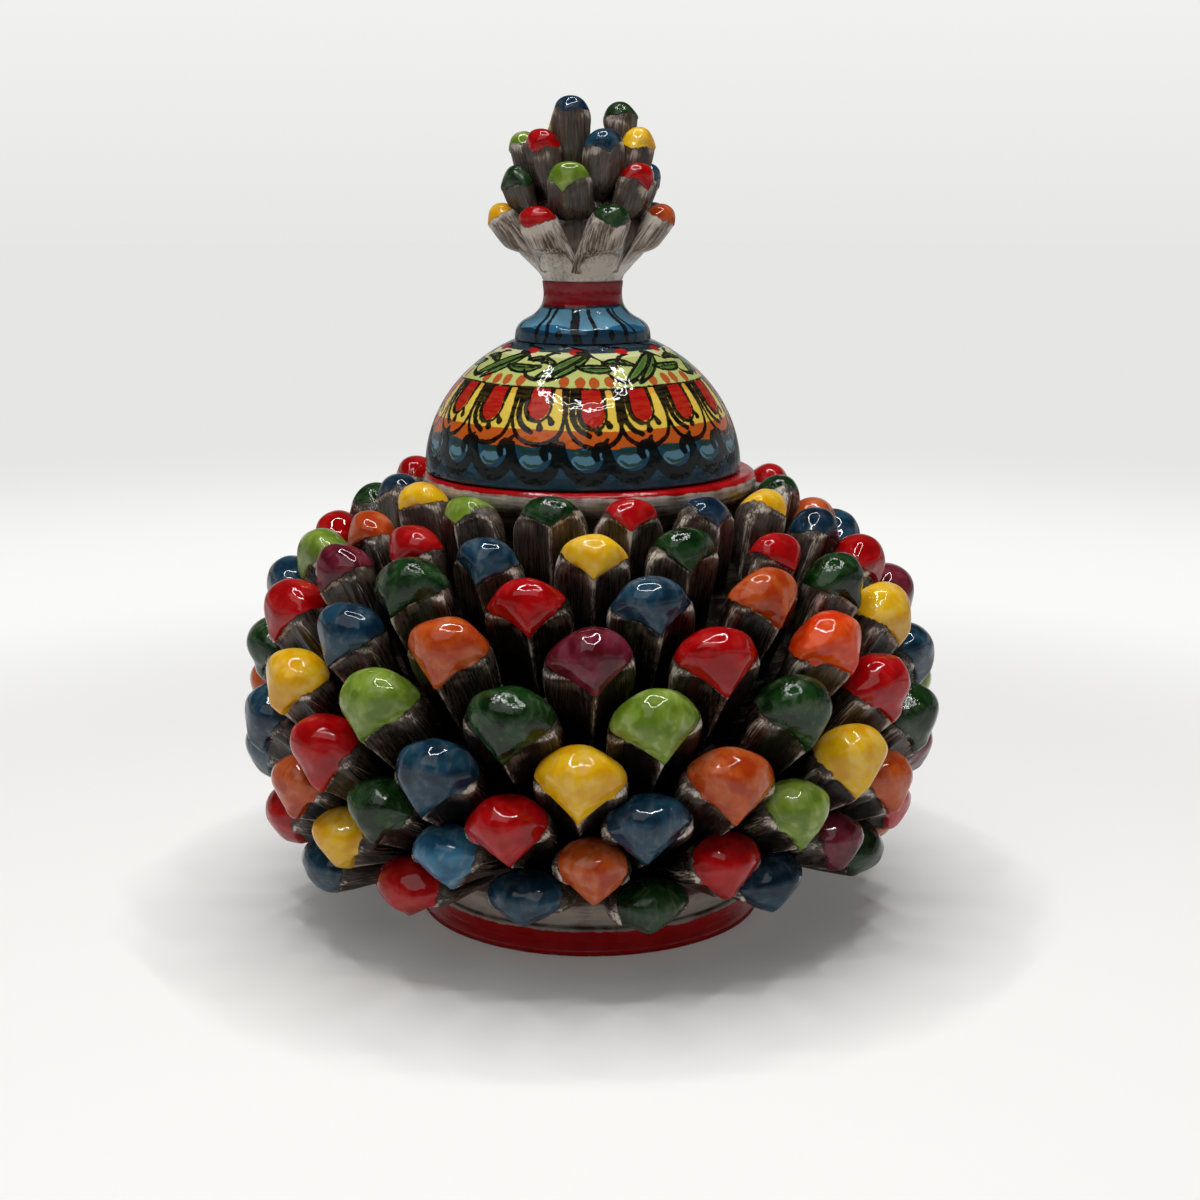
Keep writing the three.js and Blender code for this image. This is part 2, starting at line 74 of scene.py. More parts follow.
# Rows of scales on the jar, from the lowest up, in mm and degrees. A scale leaves the wall at height, leans
# out at lift above the horizontal and is reach long; width and depth are its bulb's. rooted is the stem's
# width at its root as a share of the bulb's. arch and drop place the thumb marks: how far below the bulb
# they begin, and how much further down they meet on the keel, as shares of the depth; curve bends the line
# between, and 1 is straight. gap is the bare strip under the glaze, blunt how far the keel runs up the
# bulb, and wash how thick the wash lies. glazes lists the tips that show from the front, left to right from
# the azimuth in first, and nudges how far each of them strays sideways and upwards from even spacing. press
# is how hard the thumbs pressed, drawn the stem's thickness at its root, flank how far the glaze's edge
# rises at the sides, all as shares, and bury how deep the root goes into the wall.
JAR_ROWS = forms(
    "height lift reach width depth rooted arch drop curve gap blunt wash first glazes nudges",
    (33, 6, 30.1, 28.1, 19.1, 0.86, -0.02, 0.4, 1.1, -0.5, 0.42, 0.9, -84,
     "green blue red blue green blue green orange",
     ((0, 0), (-0.3, -3.8), (2.1, 0), (1.4, 1.7), (-1.4, -0.7), (-0.3, 1.4), (3.4, -0.3), (0, 0))),
    (42, 16, 29, 26.1, 20, 0.86, -0.02, 0.4, 1.2, -0.5, 0.36, 0.92, -96,
     "lime red yellow sky orange red plum coral blue",
     ((0, 0), (-0.3, -3.8), (-0.7, 0), (-1, 2.8), (0.7, 1), (-1.7, -0.7), (0, -0.7), (0, 0), (0, 0))),
    (51, 30, 31.1, 27, 22.1, 0.86, 0.07, 0.33, 1.4, -0.4, 0.2, 0.95, -84,
     "blue orange green red blue lime orange plum",
     ((0, 0), (1.7, -1.4), (-1.4, 0.7), (-1.4, 1), (-3.8, 1), (-0.3, -0.3), (1.4, -1.4), (0, 0))),
    (61, 42, 33.6, 29, 23, 0.86, 0.11, 0.31, 1.7, -0.3, 0.08, 0.93, -96,
     "orange blue red blue yellow orange yellow green lime",
     ((0, 0), (1, 0), (-0.7, 0.7), (-2.1, 1), (-2.8, 2.1), (-2.4, -2.4), (0, -2.1), (0.7, 0.3), (0, 0))),
    (77, 50, 33.6, 29, 23, 0.88, 0.12, 0.31, 1.9, -0.2, 0, 0.93, -84,
     "green yellow lime green lime green red blue coral",
     ((-0.7, 1), (-1.4, -0.3), (0, 1.4), (-0.7, 1), (-2.1, -0.3), (-0.7, -0.3), (-1.7, -1.4), (0.3, -1.7),
      (0, 0))),
    (94, 58, 32.9, 28.1, 22.1, 0.9, 0.11, 0.3, 1.9, 0, 0, 0.93, -96,
     "blue red blue orange plum red amber yellow plum",
     ((-3.4, 1), (0.7, 0.7), (1, 0.7), (-0.7, 1.7), (0, 0.7), (-2.4, -0.7), (-1.7, -2.4), (-0.7, -0.7),
      (3.1, -1.4))),
    (109, 66, 31.1, 26.1, 20, 0.95, 0.08, 0.29, 1.9, 0, 0, 0.95, -108,
     "red lime plum green red blue orange green red blue",
     ((-2.4, 1), (0.7, 0), (0, 2.1), (-1.7, 1.7), (1, 0), (1, -0.7), (-0.3, -1.4), (0, -1.4), (-2.4, -1),
      (0, 0))),
    (122, 74, 27, 24.1, 17.9, 1.0, 0.02, 0.22, 1.9, 0.4, 0, 0.85, -96,
     "green orange red blue yellow green red navy orange",
     ((2.4, 3.1), (1.7, 0.7), (1, 0.3), (0, -1.4), (1, 1), (-2.1, 2.1), (2.4, -2.8), (3.8, -1.4), (1, -1))),
    (135, 80, 24.1, 23.5, 17, 1.02, -0.08, 0.16, 1.9, 0.9, 0, 0.74, -108,
     "red navy yellow lime green red navy yellow green red",
     ((0, 1.4), (0.7, -0.3), (1.7, 1.4), (0.7, -0.3), (1, 1.7), (-1.4, 0.7), (-1, -1), (1.4, -1.7),
      (2.8, -1.7), (0.7, 0))),
    press=1, drawn=1, flank=0.1, bury=4)
SCALES_IN_ROW = 15

# Rows of the finial; the height is above the foot of its core, and turn is the first scale's azimuth.
# shifts turns each scale by an azimuth and makes it longer, or says the same once for all of them.
FINIAL_ROWS = forms(
    "count turn height lift reach width rooted arch drop curve gap press drawn wash glazes shifts",
    (7, -82, 8, 52, 18.6, 14.4, 1.2, -0.1, 0.08, 1.6, 0.2, 0.1, 0.2, 0.34,
     "yellow red green orange blue lime plum", ((0, 0),)),
    (6, -72, 18, 70, 19.6, 15.4, 1.15, 0, 0.32, 1.8, -0.1, 0.6, 0.3, 0.72,
     "green lime red blue yellow green", ((0, 0),)),
    (6, -100, 27, 78, 22, 14.6, 1.15, -0.02, 0.26, 1.6, -0.1, 0.45, 0.5, 0.72,
     "lime red blue yellow orange green", ((0, 0),)),
    (3, -20, 35, 84, 24.4, 13.8, 1.15, -0.1, 0.16, 1.6, 0, 0.3, 0.7, 0.66,
     "navy green yellow", ((0, 0), (0, -1), (-14, -5))),
    depth=11.5, blunt=0, flank=0, bury=6, skew=0)
# Glazes of the tips round the back, taken in turn
HIDDEN_GLAZES = "red green yellow blue orange lime navy plum".split()

# Profiles as (radius, height) in millimetres. The finial's scales stand on CORE, and CORE_SKIN is the skin
# that shows between them.
WALL = ((61, 10.3), (66, 20.3), (79, 33), (93, 51), (97, 71), (94, 94), (87, 109), (76, 122), (65, 136),
        (56, 148))
WALL_THICKNESS = 7
CORE = ((14.6, 0), (17, 6), (18.5, 12), (16.3, 26), (10.2, 38), (4, 46.5), (0, 50))
CORE_SKIN = ((14.4, 0), (15.2, 1.8), (18, 5), (21.4, 9.5), (23.4, 14), (22.8, 20), (19, 28), (13, 37),
             (5.6, 45.5), (0, 49))
UNDERSIDE, FLOOR_TOP = 10.3, 19.3
MOUTH_RADIUS = 50
DOME_RADIUS, DOME_BASE, DOME_RISE, DOME_CROWN = 58, 166.3, 47, 25
HOLLOW_RADIUS, HOLLOW_BASE, HOLLOW_RISE = 51.5, 171.1, 35.7
NECK_BASE, NECK_TOP, CORE_BASE = 213.6, 234.6, 234.9
VENT_RADIUS, VENT_END = 6.5, 24  # the hole up the middle of the lid ends that far up inside the core

# Steps round the back and the front of a scale
BACK_STEPS, FRONT_STEPS = 18, 40


# Sizes and colours that a user may change


class JarSizes(bpy.types.PropertyGroup):
    """Sizes of the hand's work, which the CAD frame leaves open."""

    mark_depth: bpy.props.FloatProperty(
        name="Thumb Mark Depth", description="How deep the thumbs went in, as a share of the real jar's",
        default=1.0, min=0.3, max=1.5, subtype="FACTOR")
    scatter: bpy.props.FloatProperty(
        name="Scatter", default=1.0, min=0.0, max=1.5, subtype="FACTOR",
        description="How far the scales differ from one another, as a share of the real jar's")
    wander: bpy.props.FloatProperty(
        name="Throwing Wander", description="How far the thrown walls wander from a true circle",
        default=0.3 * MM, min=0.0, max=1.0 * MM, precision=4, subtype="DISTANCE", unit="LENGTH")
    glaze_line: bpy.props.FloatProperty(
        name="Glaze Line Stray", description="How far the edge of a tip's glaze strays from the thumb marks",
        default=0.8 * MM, min=0.0, max=3.0 * MM, precision=4, subtype="DISTANCE", unit="LENGTH")


def colour_property(name, description, hex_colour):
    """A colour that a user can change, given by its sRGB hex value."""
    return bpy.props.FloatVectorProperty(
        name=name, description=description, default=linear(hex_colour), size=3, min=0, max=1, subtype="COLOR")


class JarGlazes(bpy.types.PropertyGroup):
    """Colours of the glazes and of the clay under them."""

    red: colour_property("Red", "Selenium red of the tips and the ledge", "a5060b")
    # The foot's red is this red painted brighter: painted light, for the light that reaches the foot from the
    # front and off the floor
    foot: colour_property("Foot Red", "The same red where it lies thin on the foot", "dc1219")
    coral: colour_property("Coral", "Thin red over cream", "bf4046")
    orange: colour_property("Orange", "Brownish orange of tips", "b44e18")
    amber: colour_property("Amber", "Bright orange of tips", "d5470f")
    yellow: colour_property("Yellow", "Antimony yellow of tips", "deae12")
    lime: colour_property("Lime", "Yellow green of tips", "748c30")
    green: colour_property("Green", "Copper green of tips", "133612")
    blue: colour_property("Blue", "Cobalt blue of tips", "183c50")
    navy: colour_property("Navy", "Thick cobalt blue", "132d42")
    sky: colour_property("Sky", "Thin cobalt blue of tips", "376f8d")
    plum: colour_property("Plum", "Manganese and red of tips", "681a2c")
    cream: colour_property("Cream", "The clay's own colour under clear glaze", "cfc4b8")
    brushed: colour_property("Brushed Wash", "The manganese wash where the brush left it thin", "5c4e43")
    wash: colour_property("Wash", "The manganese wash where it lies thickest", "130d0a")


class JarStage(bpy.types.PropertyGroup):
    """The camera, the lamps and the floor."""

    lens: bpy.props.FloatProperty(
        name="Focal Length", description="Focal length of the camera", default=61.6, min=20, max=200,
        subtype="DISTANCE_CAMERA", unit="CAMERA")
    distance: bpy.props.FloatProperty(
        name="Camera Distance", description="How far the camera stands in front of the jar's axis",
        default=0.7508, min=0.3, max=3.0, subtype="DISTANCE", unit="LENGTH")
    tilt: bpy.props.FloatProperty(
        name="Camera Tilt", description="How far the camera looks down", default=math.radians(12.28),
        min=0.0, max=1.5, subtype="ANGLE", unit="ROTATION")
    lamp_power: bpy.props.FloatProperty(
        name="Lamp Power", description="Power of the soft lamp above and in front of the jar", default=7.0,
        min=0, max=200, unit="POWER")
    tube_power: bpy.props.FloatProperty(
        name="Tube Power", description="Power of each tube of the six-sided ceiling light", default=2.9,
        min=0, max=50, unit="POWER")
    floor: colour_property("Floor", "The table top", "f7f6f4")
    wall: colour_property("Wall", "The pale wall behind", "e6e6e4")


# Making meshes, nodes and materials

# The kind of attribute and its field, by how many numbers it holds for each point
ATTRIBUTES = {1: ("FLOAT", "value"), 3: ("FLOAT_VECTOR", "vector"), 4: ("FLOAT_COLOR", "color")}

# What a range node takes to ease in and out
EASED = {"interpolation_type": "SMOOTHSTEP"}


def put(name, data, location=(0, 0, 0), rotation=(0, 0, 0)):
    """Links a new object with this data into the scene, and returns it."""
    item = bpy.data.objects.new(name, data)
    item.location, item.rotation_euler = location, rotation
    bpy.context.scene.collection.objects.link(item)
    return item


def new_piece(node_name, mesh, body, material):
    """Puts a finished mesh in the scene, in the place of its CAD node and riding on its body."""
    piece = put(f"{node_name}_piece", mesh)
    mesh.materials.append(material)
    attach(piece, body)
    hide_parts(node_name)


def skin_mesh(name, points, start=None, end=None, loop_rows=False):
    """A mesh over sheets of points, shape (sheets, rows, steps, 3), each closed round its steps.

    start and end are one point a sheet, (sheets, 3), that closes its first or last row to a pole. Where
    loop_rows is true the last row is joined to the first. Steps run anticlockwise seen from the end, so
    that the faces point outwards.
    """
    sheets, rows, steps, _ = points.shape
    vertices = points.reshape(-1, 3)
    number = np.arange(sheets * rows * steps).reshape(sheets, rows, steps)
    beside = np.roll(number, -1, axis=2)
    low, high = number[:, :-1], number[:, 1:]
    low_beside, high_beside = beside[:, :-1], beside[:, 1:]
    if loop_rows:
        low, low_beside = number, beside
        high, high_beside = np.roll(number, -1, axis=1), np.roll(beside, -1, axis=1)
    corners = [np.stack([low, low_beside, high_beside, high], axis=-1).reshape(-1)]
    sizes = [np.full(low.size, 4)]
    for pole, row, outward in ((start, 0, -1), (end, -1, 1)):
        if pole is None:
            continue
        tip = len(vertices) + np.arange(sheets)[:, None].repeat(steps, axis=1)
        vertices = np.concatenate([vertices, np.asarray(pole, float).reshape(sheets, 3)])
        fan = [number[:, row], beside[:, row], tip][::outward]
        corners.append(np.stack(fan, axis=-1).reshape(-1))
        sizes.append(np.full(sheets * steps, 3))
    corners, sizes = np.concatenate(corners), np.concatenate(sizes)
    mesh = bpy.data.meshes.new(name)
    mesh.vertices.add(len(vertices))
    mesh.vertices.foreach_set("co", (vertices * MM).astype(np.float32).reshape(-1))
    mesh.loops.add(len(corners))
    mesh.loops.foreach_set("vertex_index", corners.astype(np.int32))
    mesh.polygons.add(len(sizes))
    mesh.polygons.foreach_set("loop_start", np.concatenate([[0], np.cumsum(sizes)[:-1]]).astype(np.int32))
    mesh.update(calc_edges=True)
    mesh.polygons.foreach_set("use_smooth", np.ones(len(sizes), bool))
    if mesh.validate():
        raise RuntimeError(f"{name} has faces that Blender had to mend")
    return mesh


def store(mesh, sheets, closed=(), **fields):
    """Keeps numbers, vectors or colours for the points of the sheets on their mesh, by their keywords.

    closed lists the rows that a pole closes, 0 or -1; each pole takes its row's mean.
    """
    for name, values in fields.items():
        values = np.asarray(values, np.float32)
        values = np.broadcast_to(values, sheets.shape[:3] + values.shape[3:])
        parts = [values.reshape((-1,) + values.shape[3:])]
        parts += [values[:, row].mean(axis=1) for row in closed]
        flat = np.concatenate(parts)
        kind, field = ATTRIBUTES[flat[0].size]
        mesh.attributes.new(name, kind, "POINT").data.foreach_set(field, flat.reshape(-1))


def fill(node, inputs):
    """Gives a node's inputs a value or a link each, all in their order or each by its name or number."""
    for key, value in inputs.items() if isinstance(inputs, dict) else enumerate(inputs):
        if isinstance(value, bpy.types.NodeSocket):
            node.id_data.links.new(value, node.inputs[key])
        else:
            node.inputs[key].default_value = value


def add_node(tree, kind, inputs=(), output=0, **settings):
    """Adds a node with its inputs and settings, and returns one of its outputs if it has any."""
    node = tree.nodes.new("ShaderNode" + kind)
    for key, value in settings.items():
        setattr(node, key, value)
    fill(node, inputs)
    return node.outputs[output] if node.outputs else node


def new_material(name, roughness, specular):
    """A material with one shader. Returns it, add_node for its tree, and the shader."""
    material = bpy.data.materials.new(name)
    material.use_nodes = True
    material.node_tree.nodes.clear()
    add = functools.partial(add_node, material.node_tree)
    surface = add("BsdfPrincipled", {"Roughness": roughness, "IOR": 1.5, "Specular IOR Level": specular})
    add("OutputMaterial", {"Surface": surface})
    return material, add, surface.node


def rgba(colour):
    """A colour with full cover, as a node's socket takes it."""
    return (*colour, 1.0)


def stray(seed):
    """A steady number from -1 to 1 for each seed: twice the fraction of a large sine, less one."""
    wave = np.sin(np.asarray(seed, float) * 12.9898) * 43758.5453
    return 2 * (wave - np.floor(wave)) - 1


def smooth(low, high, value):
    """0 below low and 1 above high, with the cubic 3t^2 - 2t^3 between."""
    t = np.clip((value - low) / (high - low), 0, 1)
    return t * t * (3 - 2 * t)


def blend(low, high, share):
    """The value a share of the way from low to high."""
    return low + (high - low) * share


# Thrown pieces


def spline(through, divisions):
    """Points along a Catmull-Rom curve through rows of numbers, divisions to each stretch."""
    p = np.asarray(through, float)
    p = np.concatenate([[2 * p[0] - p[1]], p, [2 * p[-1] - p[-2]]])
    t = np.linspace(0, 1, divisions, endpoint=False)[None, :, None]
    a, b, c, d = (p[i:len(p) - 3 + i, None, :] for i in range(4))
    curve = 0.5 * (2 * b + (c - a) * t + (2 * a - 5 * b + 4 * c - d) * t**2 + (3 * b - a - 3 * c + d) * t**3)
    return np.concatenate([curve.reshape(-1, p.shape[1]), p[-2:-1]])


def soft_line(corners, spacing=1.5):
    """A line through (radius, height, rounding) corners, each rounded by a quadratic curve.

    The curve leaves the one edge and meets the other at the rounding's distance from the corner.
    """
    corners = np.asarray(corners, float)
    points = [corners[0, :2]]
    for before, here, after in zip(corners[:-2], corners[1:-1], corners[2:]):
        back, ahead = before[:2] - here[:2], after[:2] - here[:2]
        leave = here[:2] + back * min(0.49, here[2] / np.hypot(*back))
        meet = here[:2] + ahead * min(0.49, here[2] / np.hypot(*ahead))
        t = np.linspace(0, 1, 6)[:, None]
        points.extend((1 - t) ** 2 * leave + 2 * t * (1 - t) * here[:2] + t**2 * meet)
    points.append(corners[-1, :2])
    line = [points[0]]
    for low, high in zip(points[:-1], points[1:]):
        length = np.hypot(*(high - low))
        pieces = max(1, round(length / spacing))
        if length > 1e-6:
            line.extend(low + (high - low) * k / pieces for k in range(1, pieces + 1))
    return np.array(line)


def carry_round(line, steps, centre_x, wander, seed):
    """A line of (radius, height) carried round an upright axis, as one sheet of points.

    The radius wanders by a sum of three slow sines of the azimuth, as a thrown wall does. Returns the
    sheet and the azimuths, from -180 to 180.
    """
    azimuth = np.linspace(-math.pi, math.pi, steps, endpoint=False)
    ripple = sum(np.sin(k * azimuth + 7 * stray(seed + k)) / k for k in (2, 3, 5))
    radius = line[:, :1] + wander * ripple[None, :] * np.minimum(1, line[:, :1] / 10)
    height = np.broadcast_to(line[:, 1:], radius.shape)
    x = centre_x + radius * np.sin(azimuth)
    y = -radius * np.cos(azimuth)
    return np.stack([x, y, height], axis=-1)[None], np.degrees(azimuth)


def foot_line():
    """The foot ring's closed outline: plinth, waist and flat underside."""
    return soft_line(((56, 0, 0), (64, 0, 0.8), (65, 2, 1), (62, 7.4, 2), (60.6, 10, 0.6), (52.5, 10, 0.6),
                      (56, 0, 0)))[:-1]


def vessel_line():
    """The vessel's outline from the middle of its underside, up the wall, over the rim and down inside.

    Returns it with the number of points before the rim's inner edge.
    """
    outside = spline(WALL, 9)
    rim = soft_line(((56, 148, 0), (56.8, 155.5, 1.5), (60.4, 159.3, 2), (61.5, 162.6, 2), (60.2, 166, 1.6),
                     (50.4, 166, 1.2), (MOUTH_RADIUS, 160, 0)))
    mouth = soft_line(((MOUTH_RADIUS, 160, 0), (MOUTH_RADIUS, 148, 3), (54, 139, 3)))
    inside = spline([(r - WALL_THICKNESS, z - 1) for r, z in WALL[8:1:-1]], 4)
    floor = soft_line(((66, 27, 0), (56, FLOOR_TOP, 6), (0, FLOOR_TOP, 0)), 4)
    underside = soft_line(((0, UNDERSIDE, 0), (58, UNDERSIDE, 0), (61, UNDERSIDE, 0)), 6)
    before = np.concatenate([underside[1:-1], outside, rim[1:]])
    return np.concatenate([before, mouth[1:], inside[1:], floor[:-1]]), len(before)


def dome_height(share):
    """The dome's outside as (radius, height): radius falls as a cosine while height grows as a sine."""
    sweep = math.acos(DOME_CROWN / DOME_RADIUS)
    angle = sweep * share
    return np.stack([DOME_RADIUS * np.cos(angle),
                     DOME_BASE + DOME_RISE * np.sin(angle) / math.sin(sweep)], axis=-1)


# Pinched scales


def pinched_scales(form, reach, seed, sizes):
    """Sheets of points for hand-pinched scales standing along +Z from their roots, front towards -Y.

    At each height the section is a half-ellipse behind and a front whose depth depends on a, the share
    of the way from the keel to the side. Under the bulb that depth falls from a sharp keel, as a power of
    1 - a, to a flat left by the thumb and a lip. On the bulb it is a blunt V that turns into a half-circle
    towards the crown. The two meet along the arch of each thumb mark, which runs from low on the keel
    steeply up and over to the side. Fingertips flatten the bulb: what stands out past a few planes is
    pushed back towards them. Last, the root is cut aslant: its height grows by the form's skew times y.
    Returns the sheets, their crowns and what the material needs.
    """
    one = (len(reach), 1, 1)
    r = [stray(seed + k * 0.37).reshape(one) * sizes.scatter for k in range(1, 19)]
    reach = np.asarray(reach, float).reshape(one)
    half = form["width"] / 2 * (1 + 0.05 * r[0])
    depth = form["depth"] * (1 + 0.05 * r[1])
    thick = depth / 2
    middle, cap = reach - 0.15 * depth, 0.55 * depth
    bury, blunt, press = form["bury"], form["blunt"], form["press"]

    # Rows along the scale: few on the stem, close together from a little below the arch
    low = np.linspace(0, 1, 10, endpoint=False)[None, :, None]
    mid = np.linspace(0, 1, 28, endpoint=False)[None, :, None]
    top = np.sin(np.linspace(math.asin(0.28), math.pi / 2, 12))[None, :, None]
    dense = reach - 0.62 * depth
    z = np.concatenate([-bury + (dense + bury) * low, dense + 0.624 * depth * mid, middle + cap * top],
                       axis=1)
    s = np.linspace(0, 1, FRONT_STEPS, endpoint=False)
    t_front = -(0.5 * np.cos(math.pi * s) + 0.5 * (1 - 2 * s))
    t_back = np.cos(np.linspace(0, math.pi, BACK_STEPS, endpoint=False))
    t = np.concatenate([t_back, t_front])[None, None, :]
    front = (np.arange(t.size) >= BACK_STEPS)[None, None, :]

    a = np.abs(np.clip(t + 0.16 * r[2] * (1 - t * t), -1, 1))
    above = z - reach
    h = np.clip((z - middle) / cap, 0, 1)
    close = (1 - h**2.15) ** (1 / 2.15)
    rise = np.clip(z / reach, 0, 1)

    wide = half * blend(form["rooted"], 1.09 + 0.03 * r[3], smooth(0, 0.78, rise))
    wide = blend(wide, half, smooth(-0.4 * depth, 0.12 * depth, above)) * close
    behind = thick * blend(0.7, 1.0, smooth(-0.8 * depth, -0.15 * depth, above)) * close

    keel = thick * blend(0.75, 1.15 + 0.05 * r[4], smooth(0, 0.8, rise))
    flat = thick * (0.5 - 0.3 * (sizes.mark_depth - 1) + 0.07 * r[5] * np.sign(t) * smooth(0.08, 0.6, rise))
    lip = thick * blend(0.4, 0.5, smooth(0.1, 0.6, rise))
    pressed = (flat + (keel - flat) * np.clip(1 - a / 0.5, 0, 1) ** 1.5
               + (lip - flat) * np.clip((a - 0.6) / 0.4, 0, 1) ** 1.5)
    marked = blend(thick * np.sqrt(1 - a * a), pressed, press) * np.sqrt(1 - a**8)
    vee = 0.25 * np.sqrt(1 - a * a) + 0.75 * (1 - a) ** 1.05
    full = blend(vee, np.sqrt(1 - a * a), smooth((blunt - 0.2) * depth, (blunt + 0.38) * depth, above))
    bulb = thick * blend(1.17, 0.9, smooth(-0.1 * depth, 0.4 * depth, above)) * full * close
    sway = 1.9 * r[6] * t + 0.5 * r[7] * np.sign(t) * np.minimum(1, 4 * a)
    drop = form["drop"] * (0.92 + 0.24 * r[17])
    arch = reach - depth * (form["arch"] + drop * (1 - a) ** form["curve"] + 0.07 * smooth(0.75, 1, a)) + sway
    drawn = blend(form["drawn"], 1.0, smooth(0, 0.55, rise))
    ahead = blend(marked * drawn, bulb, smooth(-0.8, 1.0, z - arch))

    x = wide * t
    y = np.where(front, -ahead, behind * drawn * np.sqrt(1 - t * t)) - 0.06 * thick * h
    up = z - middle
    for k in range(5):
        facing, slope = math.pi * (0.4 * k - 0.8) + 0.5 * r[8 + k], 0.5 + 0.35 * r[9 + k]
        nx, ny, nz = np.sin(facing) * np.cos(slope), -np.cos(facing) * np.cos(slope), np.sin(slope)
        reached = np.sqrt((half * nx) ** 2 + (thick * ny) ** 2 + (cap * nz) ** 2)
        past = 0.7 * np.logaddexp(0, (x * nx + y * ny + up * nz - 0.92 * reached) / 0.7)
        past = blend(0.2, 0.85, press) * past * smooth(-0.3 * depth, 0, above)
        x, y, up = x - past * nx, y - past * ny, up - past * nz
    z_end = up + middle
    y = y * (1 + 0.024 * np.sin(0.32 * z_end + 5 * r[14]) * np.sin(2.1 * t + 4 * r[15]))
    turn = np.radians(7) * r[10] * rise
    x, y = x * np.cos(turn) - y * np.sin(turn) + 1.3 * r[16] * rise**2, x * np.sin(turn) + y * np.cos(turn)
    z_end = z_end + form["skew"] * y * (1 - smooth(0, 0.6, rise))
    points = np.stack([x, y, z_end], axis=-1)

    # The glaze's lower edge follows the arch in front and is nearly level behind
    side = reach - depth * (form["arch"] + 0.07) - 0.6 * np.abs(r[7])
    border = np.where(front, arch, side + sway * np.abs(t) - 0.08 * depth * np.sqrt(1 - t * t))
    border = border + form["gap"] + sizes.glaze_line / MM * (0.6 * r[12] + 0.9 * r[13] * t)
    border = border + form["flank"] * depth * smooth(0.7, 1, np.abs(t))
    # More wash in the thumb marks: partly the wash that stays in these hollows, partly painted shade
    mark_wash_and_shade = front * smooth(0.1, 0.4, a) * (1 - smooth(0.7, 0.95, a))
    at_root = (1 - smooth(0.1, 0.5, rise)) * (form["wash"] > 0.7)
    wash = form["wash"] + 0.06 * r[11] + 0.1 * mark_wash_and_shade + 0.3 * at_root
    place = points + np.stack([40 * r[12], 55 * r[13], 70 * r[0]], axis=-1)
    under_arch = front & (z < arch)
    marks = dict(
        edge=z - border, arch=np.where(front, z - arch, FAR), keel=np.where(under_arch, a * wide, FAR),
        side=np.where(under_arch, (1 - np.abs(t)) * wide, FAR), plain=2.2 * (1 - press), wash=wash,
        place=place)
    marks = {key: np.broadcast_to(value, points.shape[:3] + np.shape(value)[3:])[:, :-1]
             for key, value in marks.items()}
    return points[:, :-1], points[:, -1].mean(axis=1), marks


def stand_scales(points, azimuth, radius, height, lift):
    """Carries points from a scale's own axes to the jar, one sheet for each azimuth.

    A scale's Z leans out from its root, at lift above the horizontal, and its X stays level.
    """
    sheet_shape = (len(points),) + (1,) * (points.ndim - 2)
    az, up, radius, height = (
        np.broadcast_to(np.asarray(v, float), len(points)).reshape(sheet_shape)
        for v in (np.radians(azimuth), np.radians(lift), radius, height))
    out = points[..., 2] * np.cos(up) - points[..., 1] * np.sin(up) + radius
    z = points[..., 2] * np.sin(up) + points[..., 1] * np.cos(up) + height
    side = points[..., 0]
    return np.stack([out * np.sin(az) + side * np.cos(az), -out * np.cos(az) + side * np.sin(az), z], axis=-1)


def tip_tints(glazes, names):
    """The colour of each named glaze, with an alpha of 1 where it is copper green, which has pits."""
    return np.array([(*getattr(glazes, name), float(name == "green")) for name in names])


def scale_mesh(name, sheets, crown, marks, tints):
    """The mesh of one or more scales with what their glaze and wash need on its points."""
    mesh = skin_mesh(name, sheets, start=sheets[:, 0].mean(axis=1), end=crown)
    store(mesh, sheets, (0, -1), **marks, tint=tints[:, None, None, :])
    return mesh


# Materials


def washed_colour(add, amount, glazes):
    """The clay's colour for an amount of wash: cream at 0, thin brown wash at 0.5 and near black at 1."""
    thin, thick = (add("MapRange", (amount, low, low + 0.5)) for low in (0.0, 0.5))
    colour = add("Mix", {0: thin, 6: rgba(glazes.cream), 7: rgba(glazes.brushed)}, 2, data_type="RGBA")
    return add("Mix", {0: thick, 6: colour, 7: rgba(glazes.wash)}, 2, data_type="RGBA")


